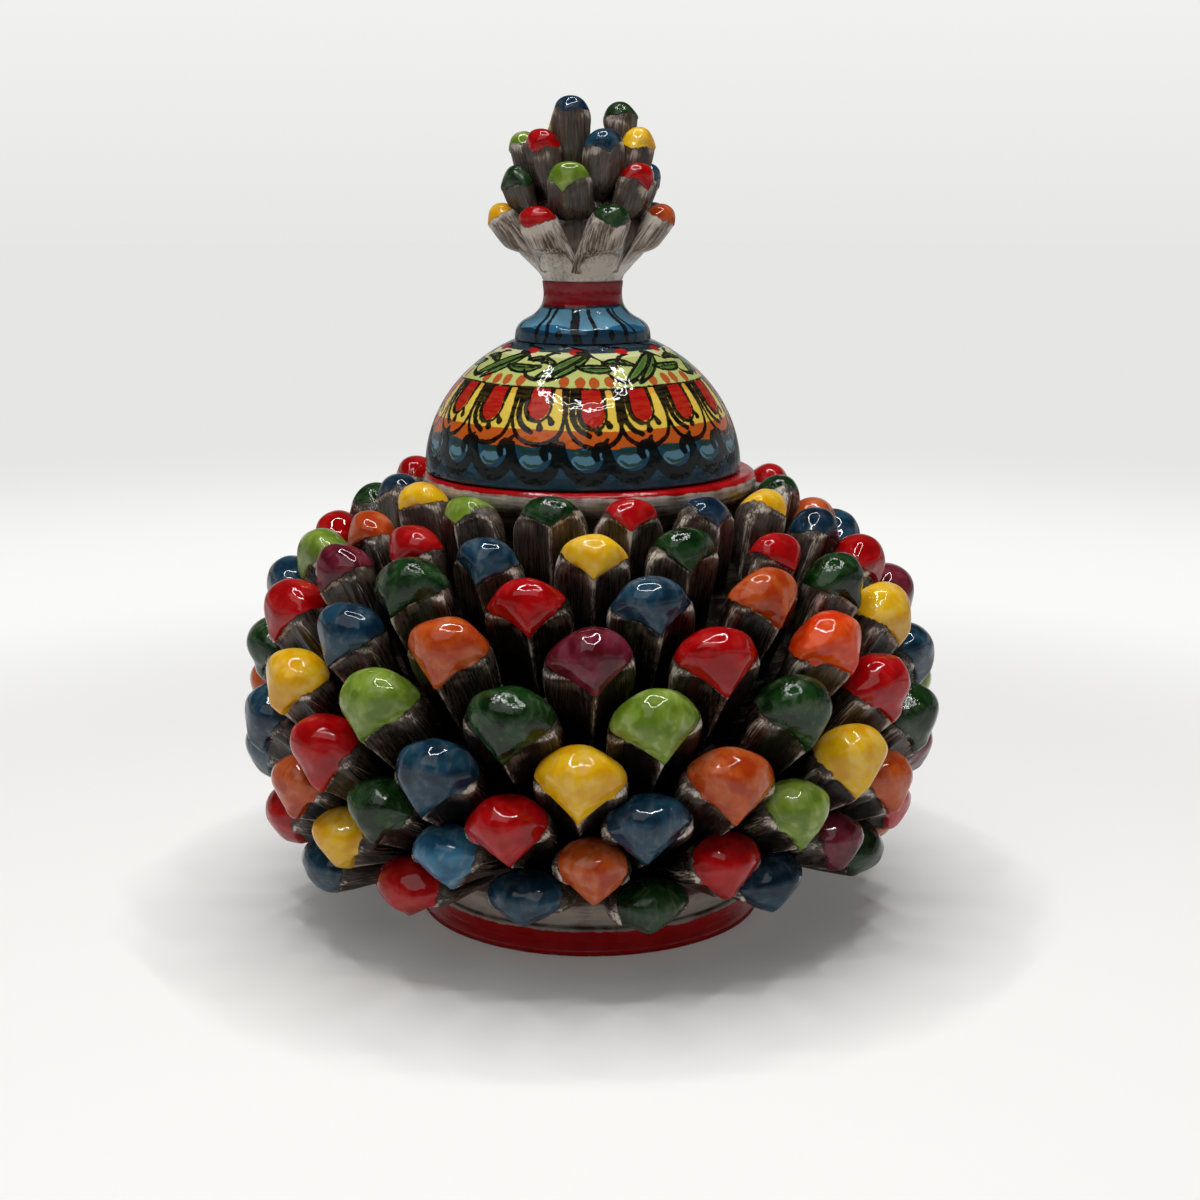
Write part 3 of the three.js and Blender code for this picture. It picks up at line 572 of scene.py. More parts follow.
def dipped_clay(glazes):
    """Cream earthenware, modelled by hand, under a manganese wash, with glaze brushed on the tips.

    The wash lies black in the thumb marks, in the brush's lengthwise lines, and is wiped off the keel
    and the edges, where the pale clay shows. The thumb marks get a little more wash, partly the wash that
    stays in those hollows and partly painted shade. A tip's glaze pools and thins, so its colour varies
    over a few millimetres, and its wet gloss shows every dent. Copper green has tiny pits.
    """
    material, add, shader = new_material("Manganese-washed earthenware with brushed glaze tips", 0.12, 0.36)
    place = add("Attribute", output="Vector", attribute_name="place")
    edge, arch, keel, side, plain, wash = (
        add("Attribute", output="Fac", attribute_name=name)
        for name in ("edge", "arch", "keel", "side", "plain", "wash"))
    tint = add("Attribute", output="Color", attribute_name="tint")
    pitted = tint.node.outputs["Alpha"]

    # Brush lines about 0.7 mm apart and 9 mm long, and clouds about 7 mm across
    along = add("Mapping", {"Vector": place, "Scale": (1.45, 1.45, 0.11)})
    lines = add("TexNoise", {"Vector": along, "Scale": 1.0, "Detail": 3.0, "Roughness": 0.65})
    lines = add("MapRange", (lines, 0.34, 0.66, -1.0, 1.0))
    cloud = add("TexNoise", {"Vector": place, "Scale": 0.14, "Detail": 2.0, "Roughness": 0.45})
    wobble = add("TexNoise", {"Vector": place, "Scale": 0.55, "Detail": 2.0})
    wobble = add("Math", (wobble, 2.4, -1.2), operation="MULTIPLY_ADD")

    # Worn lines under a millimetre wide on the keel, the outer edges and the rims of the thumb marks
    rim = add("Math", (arch,), operation="ABSOLUTE")
    nearest = add("Math", (keel, side), operation="MINIMUM")
    nearest = add("Math", (nearest, rim), operation="MINIMUM")
    nearest = add("Math", (wobble, 0.4, nearest), operation="MULTIPLY_ADD")
    nearest = add("Math", (nearest, plain), operation="ADD")
    rub = add("MapRange", (nearest, 1.25, 0.05), **EASED)
    patchy = add("MapRange", (lines, -0.9, 0.8, 0.72, 0.32))
    rub = add("Math", (rub, patchy), operation="MULTIPLY")
    rub = add("Math", (rub, wash), operation="MULTIPLY")
    unevenness = add("MapRange", (wash, 0.4, 1.0, 0.26, 0.12))
    amount = add("Math", (lines, unevenness, wash), operation="MULTIPLY_ADD")
    amount = add("Math", (amount, rub), operation="SUBTRACT")
    # A sponge wiped some of the wash away just under the glaze, in smudges about 7 mm across
    under = add("MapRange", (edge, -8.0, -0.5, 0.0, 0.5), **EASED)
    smudge = add("MapRange", (cloud, 0.44, 0.64), **EASED)
    wiped = add("Math", (under, smudge), operation="MULTIPLY")
    amount = add("Math", (amount, wiped), operation="SUBTRACT")
    clay = washed_colour(add, amount, glazes)

    # The glaze, deeper where it pools and paler where it is thin: red and plum, with little green in
    # them, cover so well that they hardly vary
    deep = add("Gamma", (tint, 1.4))
    pale = add("Mix", {0: 0.14, 6: tint, 7: rgba(linear("efe6cf"))}, 2, data_type="RGBA")
    greenness = add("SeparateColor", (tint,), "Green")
    varied = add("MapRange", (greenness, 0.0, 0.15, 0.1))
    pool = add("MapRange", (cloud, 0.4, 0.66, 0.0, 0.9), **EASED)
    drawn = add("Mapping", {"Vector": place, "Rotation": (0.5, 0.7, 0.2), "Scale": (0.5, 0.2, 0.5)})
    streaks = add("TexNoise", {
        "Vector": drawn, "Scale": 0.55, "Detail": 1.5, "Roughness": 0.5, "Distortion": 0.8})
    streaks = add("MapRange", (streaks, 0.42, 0.72), **EASED)
    streaks = add("Math", (streaks, varied), operation="MULTIPLY")
    colour = add("Mix", {0: streaks, 6: tint, 7: pale}, 2, data_type="RGBA")
    colour = add("Mix", {0: pool, 6: colour, 7: deep}, 2, data_type="RGBA")

    # Its edge strays by about half a millimetre
    reach = add("Math", (wobble, 0.8, edge), operation="MULTIPLY_ADD")
    cover = add("MapRange", (reach, -0.25, 0.25), **EASED)
    base = add("Mix", {0: cover, 6: clay, 7: colour}, 2, data_type="RGBA")
    gloss = add("MapRange", (cover, 0.0, 1.0, 0.24, 0.035))

    # Relief in mm: the glaze's step and its dimples, copper's pits, and the brush lines on bare clay
    dimple = add("TexNoise", {"Vector": place, "Scale": 0.22, "Detail": 0.5})
    pits = add("TexNoise", {"Vector": place, "Scale": 1.3, "Detail": 1.0})
    pits = add("Math", (pits, pitted), operation="MULTIPLY")
    glazed = add("Math", (dimple, 0.45, 0.1), operation="MULTIPLY_ADD")
    glazed = add("Math", (pits, 0.1, glazed), operation="MULTIPLY_ADD")
    bare = add("Math", (lines, 0.04), operation="MULTIPLY")
    relief = add("Mix", {0: cover, 2: bare, 3: glazed}, data_type="FLOAT")
    bump = add("Bump", {"Height": relief, "Distance": MM, "Strength": 1.0})
    fill(shader, {"Base Color": base, "Roughness": gloss, "Normal": bump})
    return material


def thrown_clay(name, glazes, red_glaze, roughness, brush=(60, 60, 800)):
    """Cream earthenware under clear glaze, thrown, with brushed wash and bands of a red glaze.

    It reads two attributes: wash, the amount of wash, and red, the distance in mm inside the red band.
    brush stretches the brush's streaks: they are short, in 1/m, along the larger numbers, which are
    those of a band brushed on the turning wheel unless the call says otherwise.
    """
    material, add, shader = new_material(name, roughness, 0.4)
    place = add("TexCoord", output="Object")
    wash, red = (add("Attribute", output="Fac", attribute_name=key) for key in ("wash", "red"))
    drawn = add("Mapping", {"Vector": place, "Scale": brush})
    uneven = []
    for vector, scale in ((drawn, 1.0), (place, 110.0)):
        noise = add("TexNoise", {"Vector": vector, "Scale": scale, "Detail": 4.0, "Roughness": 0.6})
        uneven.append(add("MapRange", (noise, 0.36, 0.66, -1.0, 1.0)))
    streaks, cloud = uneven
    amount = add("Math", (streaks, 0.14, wash), operation="MULTIPLY_ADD")
    amount = add("Math", (cloud, 0.12, amount), operation="MULTIPLY_ADD")
    clay = washed_colour(add, amount, glazes)
    deep = add("MapRange", (cloud, -0.4, 1.0))
    pooled = add("Gamma", (rgba(red_glaze), 1.4))
    painted = add("Mix", {0: deep, 6: rgba(red_glaze), 7: pooled}, 2, data_type="RGBA")
    inside = add("Math", (cloud, 0.35, red), operation="MULTIPLY_ADD")
    cover = add("MapRange", (inside, -0.2, 0.2), **EASED)
    base = add("Mix", {0: cover, 6: clay, 7: painted}, 2, data_type="RGBA")
    rings = add("Math", (streaks, 0.03), operation="MULTIPLY")
    relief = add("Math", (cloud, 0.05, rings), operation="MULTIPLY_ADD")
    bump = add("Bump", {"Height": relief, "Distance": MM, "Strength": 1.0})
    fill(shader, {"Base Color": base, "Normal": bump})
    return material


def brushed_paint(name, ground, layers):
    """Underglaze colours brushed in layers on earthenware beneath clear, wet-looking glaze.

    Each layer is (attribute, colour, strength): the attribute holds the distance in mm inside that
    layer's strokes, so its edge stays sharp and strays a little, and the brush leaves it uneven.
    """
    material, add, shader = new_material(name, 0.06, 0.32)
    place = add("TexCoord", output="Object")
    ragged = add("TexNoise", {"Vector": place, "Scale": 700.0, "Detail": 2.0})
    ragged = add("Math", (ragged, 0.8, -0.4), operation="MULTIPLY_ADD")
    drawn = add("Mapping", {"Vector": place, "Scale": (130, 130, 900)})
    bristle = add("TexNoise", {"Vector": drawn, "Scale": 1.0, "Detail": 4.0, "Roughness": 0.6})
    uneven = add("MapRange", (bristle, 0.35, 0.62, 0.94, 1.0))
    colour = rgba(linear(ground))
    for attribute, paint, strength in layers:
        inside = add("Attribute", output="Fac", attribute_name=attribute)
        inside = add("Math", (inside, ragged), operation="ADD")
        cover = add("MapRange", (inside, -0.14, 0.16, 0.0, strength), **EASED)
        cover = add("Math", (cover, uneven), operation="MULTIPLY")
        colour = add("Mix", {0: cover, 6: colour, 7: rgba(linear(paint))}, 2, data_type="RGBA")
    gloss = add("MapRange", (bristle, 0.0, 1.0, 0.04, 0.09))
    dimple = add("TexNoise", {"Vector": place, "Scale": 300.0, "Detail": 1.0})
    bump = add("Bump", {"Height": dimple, "Distance": 0.28 * MM, "Strength": 1.0})
    fill(shader, {"Base Color": colour, "Roughness": gloss, "Normal": bump})
    return material


# Painting on the lid


def stroke(x, y, *points):
    """How far inside a brush stroke each point lies, in mm.

    The stroke follows a smooth curve through (x, y, half-width): the value is the half-width there less
    the distance to the curve.
    """
    path = spline(points, 4) if len(points) > 2 else np.asarray(points, float)
    inside = np.full(np.broadcast(x, y).shape, -99.0)
    for (x0, y0, w0), (x1, y1, w1) in zip(path[:-1], path[1:]):
        dx, dy = x1 - x0, y1 - y0
        share = np.clip(((x - x0) * dx + (y - y0) * dy) / (dx * dx + dy * dy), 0, 1)
        inside = np.maximum(inside, blend(w0, w1, share) - np.hypot(x - x0 - share * dx, y - y0 - share * dy))
    return inside


def spot(x, y, cx, cy, rx, ry):
    """How far inside an ellipse each point lies, in mm, near its edge."""
    return (1 - np.hypot((x - cx) / rx, (y - cy) / ry)) * np.minimum(rx, ry)


def greatest(*fields):
    """The greatest of the fields at each point, over the nearest motifs too."""
    return np.maximum.reduce(fields).max(axis=0)


def repeat_round(azimuth, count, first, radius, jitter, seed):
    """For each azimuth, how far in mm it is from the three nearest of count motifs, and their numbers.

    Both have the three along the first axis. The motifs are evenly spaced round a circle from the azimuth
    first, but each strays by jitter degrees, as on a hand-painted band.
    """
    pitch = 360 / count
    nearest = np.round((azimuth - first) / pitch)
    number = np.stack([nearest - 1, nearest, nearest + 1])
    middle = first + number * pitch + jitter * stray(seed + np.mod(number, count))
    return np.radians(azimuth - middle) * radius, np.mod(number, count)


def dome_paint(azimuth, up):
    """Layers of the dome's bands for points at an azimuth and at a distance up the surface, in mm.

    From the rim up: navy edge, blue waves, orange, seventeen yellow lobes with red drops, green leaves on
    pale lime over orange dots, and a dark band with red dots.
    """
    turn = np.radians(azimuth)
    y = up + 0.3 * np.sin(turn * 3 + 1) + 0.2 * np.sin(turn * 7)
    layers = {"navy": 4.6 - y}

    x, number = repeat_round(azimuth, 21, 1.7, 57.2, 1, 31)
    x, v = x * (1 + 0.06 * stray(number + 0.3)), y - 0.6 * stray(number + 0.6)
    layers["pale_wave"] = greatest(spot(x, v, -1.6, 10.4, 4.2, 2.6), spot(x, v, 5, 12.6, 1, 1.3))
    layers["green_wave"] = greatest(
        stroke(x, v, (-6.6, 15.6, 0.7), (-4, 13.7, 1), (-0.6, 13.3, 1.1), (2, 14.4, 0.8)),
        stroke(x, v, (-4.6, 10.4, 0.3), (-2.2, 8.8, 0.6), (1, 8.9, 0.5), (2.6, 10, 0.2)))
    layers["dark_wave"] = greatest(
        stroke(x, v, (-9.4, 16.2, 1), (-8.6, 11.6, 1.5), (-6.4, 7.6, 1.8), (-2.4, 4.9, 2), (2.4, 4.8, 2.1),
               (6, 7.6, 1.8), (7.4, 11.8, 1.5), (6.4, 15, 1.6), (4.2, 15.8, 1.4), (2.7, 14, 1.2),
               (3.3, 11.9, 1)),
        stroke(x, v, (5.6, 15.6, 1.3), (7.4, 18.2, 0.4))) + 0.3
    under_lime = 38 - y
    layers["orange"] = np.minimum(y - 15.3 - 0.4 * np.sin(turn * 25), under_lime)
    layers["yellow"] = np.minimum(y - 21.2, under_lime)
    layers["stained"] = np.minimum(y - 34.6 - 0.6 * np.sin(turn * 11), under_lime)

    x, number = repeat_round(azimuth, 17, 3.3, 51.5, 0.8, 52)
    v = y - 0.6 * stray(number + 0.7)
    x = x * (1 + 0.04 * stray(number + 0.2)) - 0.05 * stray(number + 0.4) * (37 - y)
    foot = 29.3 + 0.9 * stray(number)
    drop = np.where(v > foot, 4.2 - np.abs(x), spot(x, v, 0, foot, 4.2, 5.4))
    layers["drop"] = greatest(np.minimum(drop, 37.4 - y))
    lobes = greatest(
        stroke(x, v, (-8.3, 38.5, 0.7), (-8.9, 31, 0.6), (-8.8, 24.5, 0.55), (-6.4, 18.9, 0.65),
               (-1.8, 16.1, 0.75), (3.4, 16.3, 0.8), (7.6, 19.4, 0.65), (9.3, 24.6, 0.55), (9.4, 31, 0.65),
               (9, 38.5, 1)),
        stroke(x, v, (9.9, 38.5, 1.6), (9.7, 33, 1.1), (9.5, 28, 0.6), (9.5, 24.5, 0.3)),
        stroke(x, v, (-6.4, 38.5, 1), (-6.9, 31.5, 0.95), (-6.7, 26.5, 0.95), (-5, 22.6, 0.9),
               (-1.6, 20.1, 0.85)),
        stroke(x, v, (1.2, 23.6, 0.4), (1.3, 21.6, 1.2)),
        stroke(x, v, (4.2, 26.2, 0.4), (5.2, 23.8, 1.1)),
        0.35 + 0.45 * smooth(28, 36, v) + 0.4 * smooth(1, -3, x) - np.abs(drop + 0.45)) + 0.12
    lime_edge = 37.6
    layers["lime"] = y - lime_edge
    layers["pale_lime"] = y - 52.4

    x, number = repeat_round(azimuth, 8, 2.3, 45, 1.5, 94)
    layers["orange_dot"] = greatest(*(
        spot(x, y, cx + 0.5 * stray(number + cx), 40.5 + 0.3 * stray(number - cx), 2, 2.6)
        for cx in (-9.2, -3.4, 1.8, 8.4)))
    x, number = repeat_round(azimuth, 8, -7, 41, 2, 73)
    v = y - 0.5 * stray(number + 0.9)
    strands = [
        stroke(x, v, (-10.5, 40.6, 0.3), (-7.4, 43.4, 1.3), (-2.4, 47.2, 1.8), (3, 51.4, 1.5),
               (8, 54.6, 0.4)),
        stroke(x, v, (-5.6, 40.2, 0.3), (-1.4, 43.4, 1.2), (2.6, 46.6, 1.3), (6.6, 50.2, 1),
               (9.6, 53.6, 0.3)),
        stroke(x, v, (4.4, 47.2, 0.4), (9, 46.6, 1.7), (14.6, 46.4, 1.8), (19.6, 47.4, 0.5)),
        stroke(x, v, (-17.6, 50.6, 0.4), (-13, 51.2, 1.2), (-8.4, 50.2, 1.3), (-4.4, 48.4, 0.4))]
    leaf = greatest(*strands)
    layers["leaf"], layers["leaf_shade"] = leaf, leaf - 1.0
    leaves = greatest(
        *(0.62 - np.abs(field) for field in strands),
        stroke(x, v, (-4, 54.6, 0.4), (-7.6, 54.4, 0.8), (-10.8, 52, 1), (-10.4, 49.2, 0.8),
               (-8.2, 49.9, 0.5)),
        stroke(x, v, (4.4, 55.4, 0.9), (8.4, 54.8, 1.2), (12.2, 52.4, 0.6), (15.6, 49.8, 0.3)),
        stroke(x, v, (-16.8, 45.4, 0.4), (-14.4, 42.2, 0.8), (-10, 40.6, 1), (-6.4, 41.4, 0.5)),
        stroke(x, v, (-14.4, 50.8, 0.35), (-7.4, 50.9, 0.3)),
        stroke(x, v, (6.4, 46.8, 0.3), (17.4, 46.9, 0.35)))
    layers["dark_top"] = y - 55.6
    x, _ = repeat_round(azimuth, 11, -4.5, 31, 2, 115)
    layers["red_dot"] = greatest(spot(x, y, 0, 56.2, 2.5, 2))
    swish = greatest(stroke(x, y, (-7, 61.5, 0.9), (-4, 59.4, 0.8), (0, 58.6, 0.6), (4.5, 57.2, 0.3)))
    edge_line = 0.45 - np.abs(y - lime_edge)
    layers["black"] = np.maximum.reduce([np.minimum(lobes, 37.8 - y), edge_line, leaves, swish])
    return layers


def neck_paint(azimuth, height):
    """Layers of the neck for points at an azimuth and a height above its base, in mm.

    They are the black strokes down the sky-blue step, a paler blue on its upper part, which is a painted
    highlight, its dark lower edge, a painted shadow line at the foot of the collar, and the red collar.
    """
    strokes = ((-41, -46, 0.75), (-32, -35, 0.7), (-4.2, -9.8, 1.5), (11, 8.8, 0.75), (41, 36, 0.9),
               (50, 43, 0.5), (78, 72, 1.2), (92, 95, 0.7), (118, 110, 0.8), (128, 122, 0.7),
               (151, 146, 1.4), (170, 173, 0.7), (-72, -78, 1.1), (-97, -92, 0.7), (-110, -112, 0.8),
               (-139, -146, 1.4), (-160, -158, 0.7))
    turn = np.radians(azimuth)
    ripple = 0.3 * np.sin(turn * 2)
    collar_foot, step_radius = 12.4, 24
    black = np.full(np.broadcast(azimuth, height).shape, OUTSIDE)
    for foot, top, width in strokes:
        away = azimuth - blend(foot, top, smooth(2, 12, height)) - 1.2 * np.sin(height * 0.6 + foot)
        away = (away + 180) % 360 - 180
        inside = width - np.abs(np.radians(away)) * (step_radius - 0.7 * height)
        black = np.maximum(black, np.minimum(inside, 11.8 - height))
    for middle in (25.5, -20, 103, -125):
        away = (azimuth - middle + 180) % 360 - 180
        black = np.maximum(black, spot(np.radians(away) * step_radius, height, 0, 3, 1.2, 1.9))
    return {
        # A paler blue over the step's upper part, in patches round it: painted highlight
        "thin": np.minimum(height - 5.6, collar_foot - height) + 0.9 * np.sin(turn * 5 + 1),
        "deep": 4.4 + 0.7 * np.sin(turn * 5) - height,
        "black": black,
        "red": height - collar_foot - ripple,
        "shadow": 0.5 - np.abs(height - 12.2 - ripple),
    }


# The stage


def add_lamp(name, sides, power, location, rotation):
    """Adds a rectangular lamp, which shines along its own -Z."""
    lamp = bpy.data.lights.new(name, "AREA")
    lamp.shape = "RECTANGLE"
    lamp.size, lamp.size_y = sides
    lamp.energy = power
    put(name, lamp, location, rotation)


def set_world(scene, stage):
    """Gives the scene its surroundings.

    The eye sees a pale wall, a little brighter upwards. Glaze mirrors that wall up to about 20 degrees
    above the table and a dim ceiling over it, and as a lamp the world is weak.
    """
    world = bpy.data.worlds.new("studio")
    scene.world = world
    world.use_nodes = True
    world.node_tree.nodes.clear()
    add = functools.partial(add_node, world.node_tree)
    up = add("SeparateXYZ", (add("TexCoord", output="Generated"),), "Z")
    path = add("LightPath").node.outputs
    mirrored = add("MapRange", (up, 0.1, 0.3, 0.5, 0.06), **EASED)
    glossy = add("Math", (path["Is Glossy Ray"], path["Is Transmission Ray"]), operation="MAXIMUM")
    strength = add("Mix", {0: glossy, 2: 0.12, 3: mirrored}, data_type="FLOAT")
    strength = add("Mix", {0: path["Is Camera Ray"], 2: strength, 3: 1.0}, data_type="FLOAT")
    height = add("MapRange", (up, -0.05, 0.1))
    colour = add("Mix", {0: height, 6: rgba(stage.wall), 7: rgba(linear("f4f4f2"))}, 2, data_type="RGBA")
    light = add("Background", {"Color": colour, "Strength": strength})
    add("OutputWorld", {"Surface": light})


def lay_floor(stage):
    """Lays the pale table top, a wide flat disc that looks as if it swept up into the wall."""
    radius = np.array([[0.02], [0.3], [0.9], [2.2], [6.0]]) / MM
    azimuth = np.linspace(0, 2 * math.pi, 48, endpoint=False)
    flat = np.stack([radius * np.cos(azimuth), radius * np.sin(azimuth), 0 * radius * azimuth], axis=-1)
    mesh = skin_mesh("floor", flat[None, ::-1], end=[(0, 0, 0)])
    material, add, shader = new_material("Matt laminate, rolled", 0.5, 0.3)
    spot_on = add("TexCoord", output="Object")
    speck = add("TexNoise", {"Vector": spot_on, "Scale": 3.0, "Detail": 2.0})
    gloss = add("MapRange", (speck, 0.0, 1.0, 0.5, 0.62))
    fill(shader, {"Base Color": rgba(stage.floor), "Roughness": gloss})
    # Away from the jar the eye sees the floor brighten, then fade to the wall's colour. Near the jar a
    # tenth of white lifts it without hiding the shadow.
    away = add("VectorMath", (spot_on,), "Value", operation="LENGTH")
    sweep = add("MapRange", (away, 0.66, 1.3), **EASED)
    colour = add("Mix", {0: sweep, 6: rgba(linear("fafaf8")), 7: rgba(stage.wall)}, 2, data_type="RGBA")
    fade = add("MapRange", (away, 0.28, 0.6, 0.1), **EASED)
    seen = add("LightPath", output="Is Camera Ray")
    fade = add("Math", (fade, seen), operation="MULTIPLY")
    wall = add("Emission", {"Color": colour, "Strength": 1.0})
    mixed = add("MixShader", (fade, shader.outputs["BSDF"], wall))
    output = next(node for node in material.node_tree.nodes if node.type == "OUTPUT_MATERIAL")
    fill(output, {"Surface": mixed})
    mesh.materials.append(material)
    floor = put("floor", mesh)


# Operators


class JAR_OT_stage(bpy.types.Operator):
    """Sets the camera, the lamps, the pale floor and the wall"""

    bl_idname = "jar.stage"
    bl_label = "Set the Stage"

    def execute(self, context):
        scene = context.scene
        stage = scene.jar_stage
        camera = bpy.data.cameras.new("photo_camera")
        camera.lens = stage.lens
        camera.sensor_width = 36
        camera_x, camera_height = 0.0038, 0.2795
        place, turn = (camera_x, -stage.distance, camera_height), (math.pi / 2 - stage.tilt, 0, 0)
        scene.camera = put("photo_camera", camera, place, turn)
        scene.view_settings.view_transform = "Standard"

        # A six-sided light of tubes on the ceiling, which shows as a bright outline in the glaze
        ring_radius, ring_height, ring_y, tube_width = 0.5, 1.3, -0.1, 0.03
        apothem = ring_radius * math.cos(math.radians(30))
        for i in range(6):
            angle = math.radians(60 * i + 30)
            place = (apothem * math.cos(angle), apothem * math.sin(angle) + ring_y, ring_height)
            add_lamp(f"ceiling_tube_{i + 1}", (ring_radius * 0.94, tube_width), stage.tube_power, place,
                     (0, 0, angle + math.pi / 2))
        place = np.array([-0.5, -1.1, 1.6])
        aim = np.array([0.0, 0.0, 0.12]) - place
        add_lamp("soft_lamp", (1.6, 1.2), stage.lamp_power, place, (
            math.acos(-aim[2] / np.linalg.norm(aim)), 0, math.atan2(aim[1], aim[0]) - math.pi / 2))
        set_world(scene, stage)
        lay_floor(stage)
        return {"FINISHED"}


class JAR_OT_vessel(bpy.types.Operator):
    """Builds the foot ring and the thrown vessel"""

    bl_idname = "jar.vessel"
    bl_label = "Build the Vessel"

    def execute(self, context):
        sizes, glazes = context.scene.jar_sizes, context.scene.jar_glazes
        wander = sizes.wander / MM
        clay = thrown_clay("Clear and red glaze on earthenware, thrown", glazes, glazes.red, 0.14)
        line = foot_line()
        sheet, _ = carry_round(line, 128, 0, wander, 1)
        # The foot gets the brighter red, painted light for the light that reaches it from the front and off
        # the floor
        foot_clay_painted_brighter = thrown_clay("Red glaze on earthenware, thrown", glazes, glazes.foot, 0.14)
        mesh = skin_mesh("foot_ring", sheet, loop_rows=True)
        # Red glaze from just above the table to 8.3 mm, and a line of wash in the joint above it
        height = line[:, 1][None, :, None]
        wash = 0.02 + 0.5 * np.exp(-(((height - 9.5) / 0.5) ** 2))
        store(mesh, sheet, wash=wash, red=np.minimum(8.3 - height, height - 0.4))
        new_piece("foot_ring", mesh, "jar", foot_clay_painted_brighter)

        # The wash covers the wall outside, fades out towards the foot and thins under the rim, whose top
        # is red
        line, before = vessel_line()
        sheet, _ = carry_round(line, 160, 0, wander, 2)
        mesh = skin_mesh("vessel", sheet, start=[(0, 0, UNDERSIDE)], end=[(0, 0, FLOOR_TOP)])
        height = line[:, 1][None, :, None]
        outer = ((np.arange(len(line)) < before) & (line[:, 0] > MOUTH_RADIUS + 1))[None, :, None]
        wash = 0.02 + 0.98 * smooth(16, 26, height) * (1 - 0.72 * smooth(151, 161, height))
        red = np.where(outer, np.minimum(height - 164.4, 3), height - 164.9)
        store(mesh, sheet, (0, -1), wash=np.where(outer, wash, 0.04), red=red)
        new_piece("vessel", mesh, "jar", clay)
        return {"FINISHED"}


class JAR_OT_scales(bpy.types.Operator):
    """Builds the nine rows of pinched scales"""

    bl_idname = "jar.scales"
    bl_label = "Build the Rows of Scales"

    def execute(self, context):
        sizes, glazes = context.scene.jar_sizes, context.scene.jar_glazes
        material = dipped_clay(glazes)
        wall = spline(WALL, 20)
        rise = np.degrees(np.arctan2(-np.gradient(wall[:, 0]), np.gradient(wall[:, 1])))
        for i, row in enumerate(JAR_ROWS):
            j = np.arange(SCALES_IN_ROW)
            seed = (i + 1) * 100 + j
            azimuth = row["first"] + 360 / SCALES_IN_ROW * j
            shown = len(row["nudges"])
            nudge = np.stack([1.6 * stray(seed + 0.5), 1.4 * stray(seed + 0.6)], axis=1)
            nudge[:shown] = row["nudges"]
            root = np.interp(row["height"], wall[:, 1], wall[:, 0])
            lift = row["lift"] + 1.5 * sizes.scatter * stray(seed + 0.3)
            bulb = root + row["reach"] * math.cos(math.radians(row["lift"]))
            # A nudge is sideways as the camera sees it, so it turns a scale further near the jar's sides
            facing = np.cos(np.radians(azimuth))
            facing = np.where(np.abs(facing) < 0.4, 0.4 * np.sign(facing + 1e-9), facing)
            azimuth = azimuth + sizes.scatter * np.degrees(nudge[:, 0] / (bulb * facing))
            height = row["height"] + sizes.scatter * nudge[:, 1]
            reach = row["reach"] + 0.6 * sizes.scatter * stray(seed + 0.7)
            # The root is cut aslant, along the wall that it stands on
            slant = row["lift"] - np.interp(row["height"], wall[:, 1], rise)
            form = dict(row, skew=math.tan(math.radians(slant)))
            points, crown, marks = pinched_scales(form, reach, seed, sizes)
            sheets, crown = (stand_scales(part, azimuth, root, height, lift) for part in (points, crown))
            hidden = [HIDDEN_GLAZES[(3 * i + 5 * k) % len(HIDDEN_GLAZES)]
                      for k in range(SCALES_IN_ROW - shown)]
            name = f"scale_row_{i + 1}"
            mesh = scale_mesh(name, sheets, crown, marks, tip_tints(glazes, row["glazes"].split() + hidden))
            new_piece(name, mesh, "jar", material)
        return {"FINISHED"}


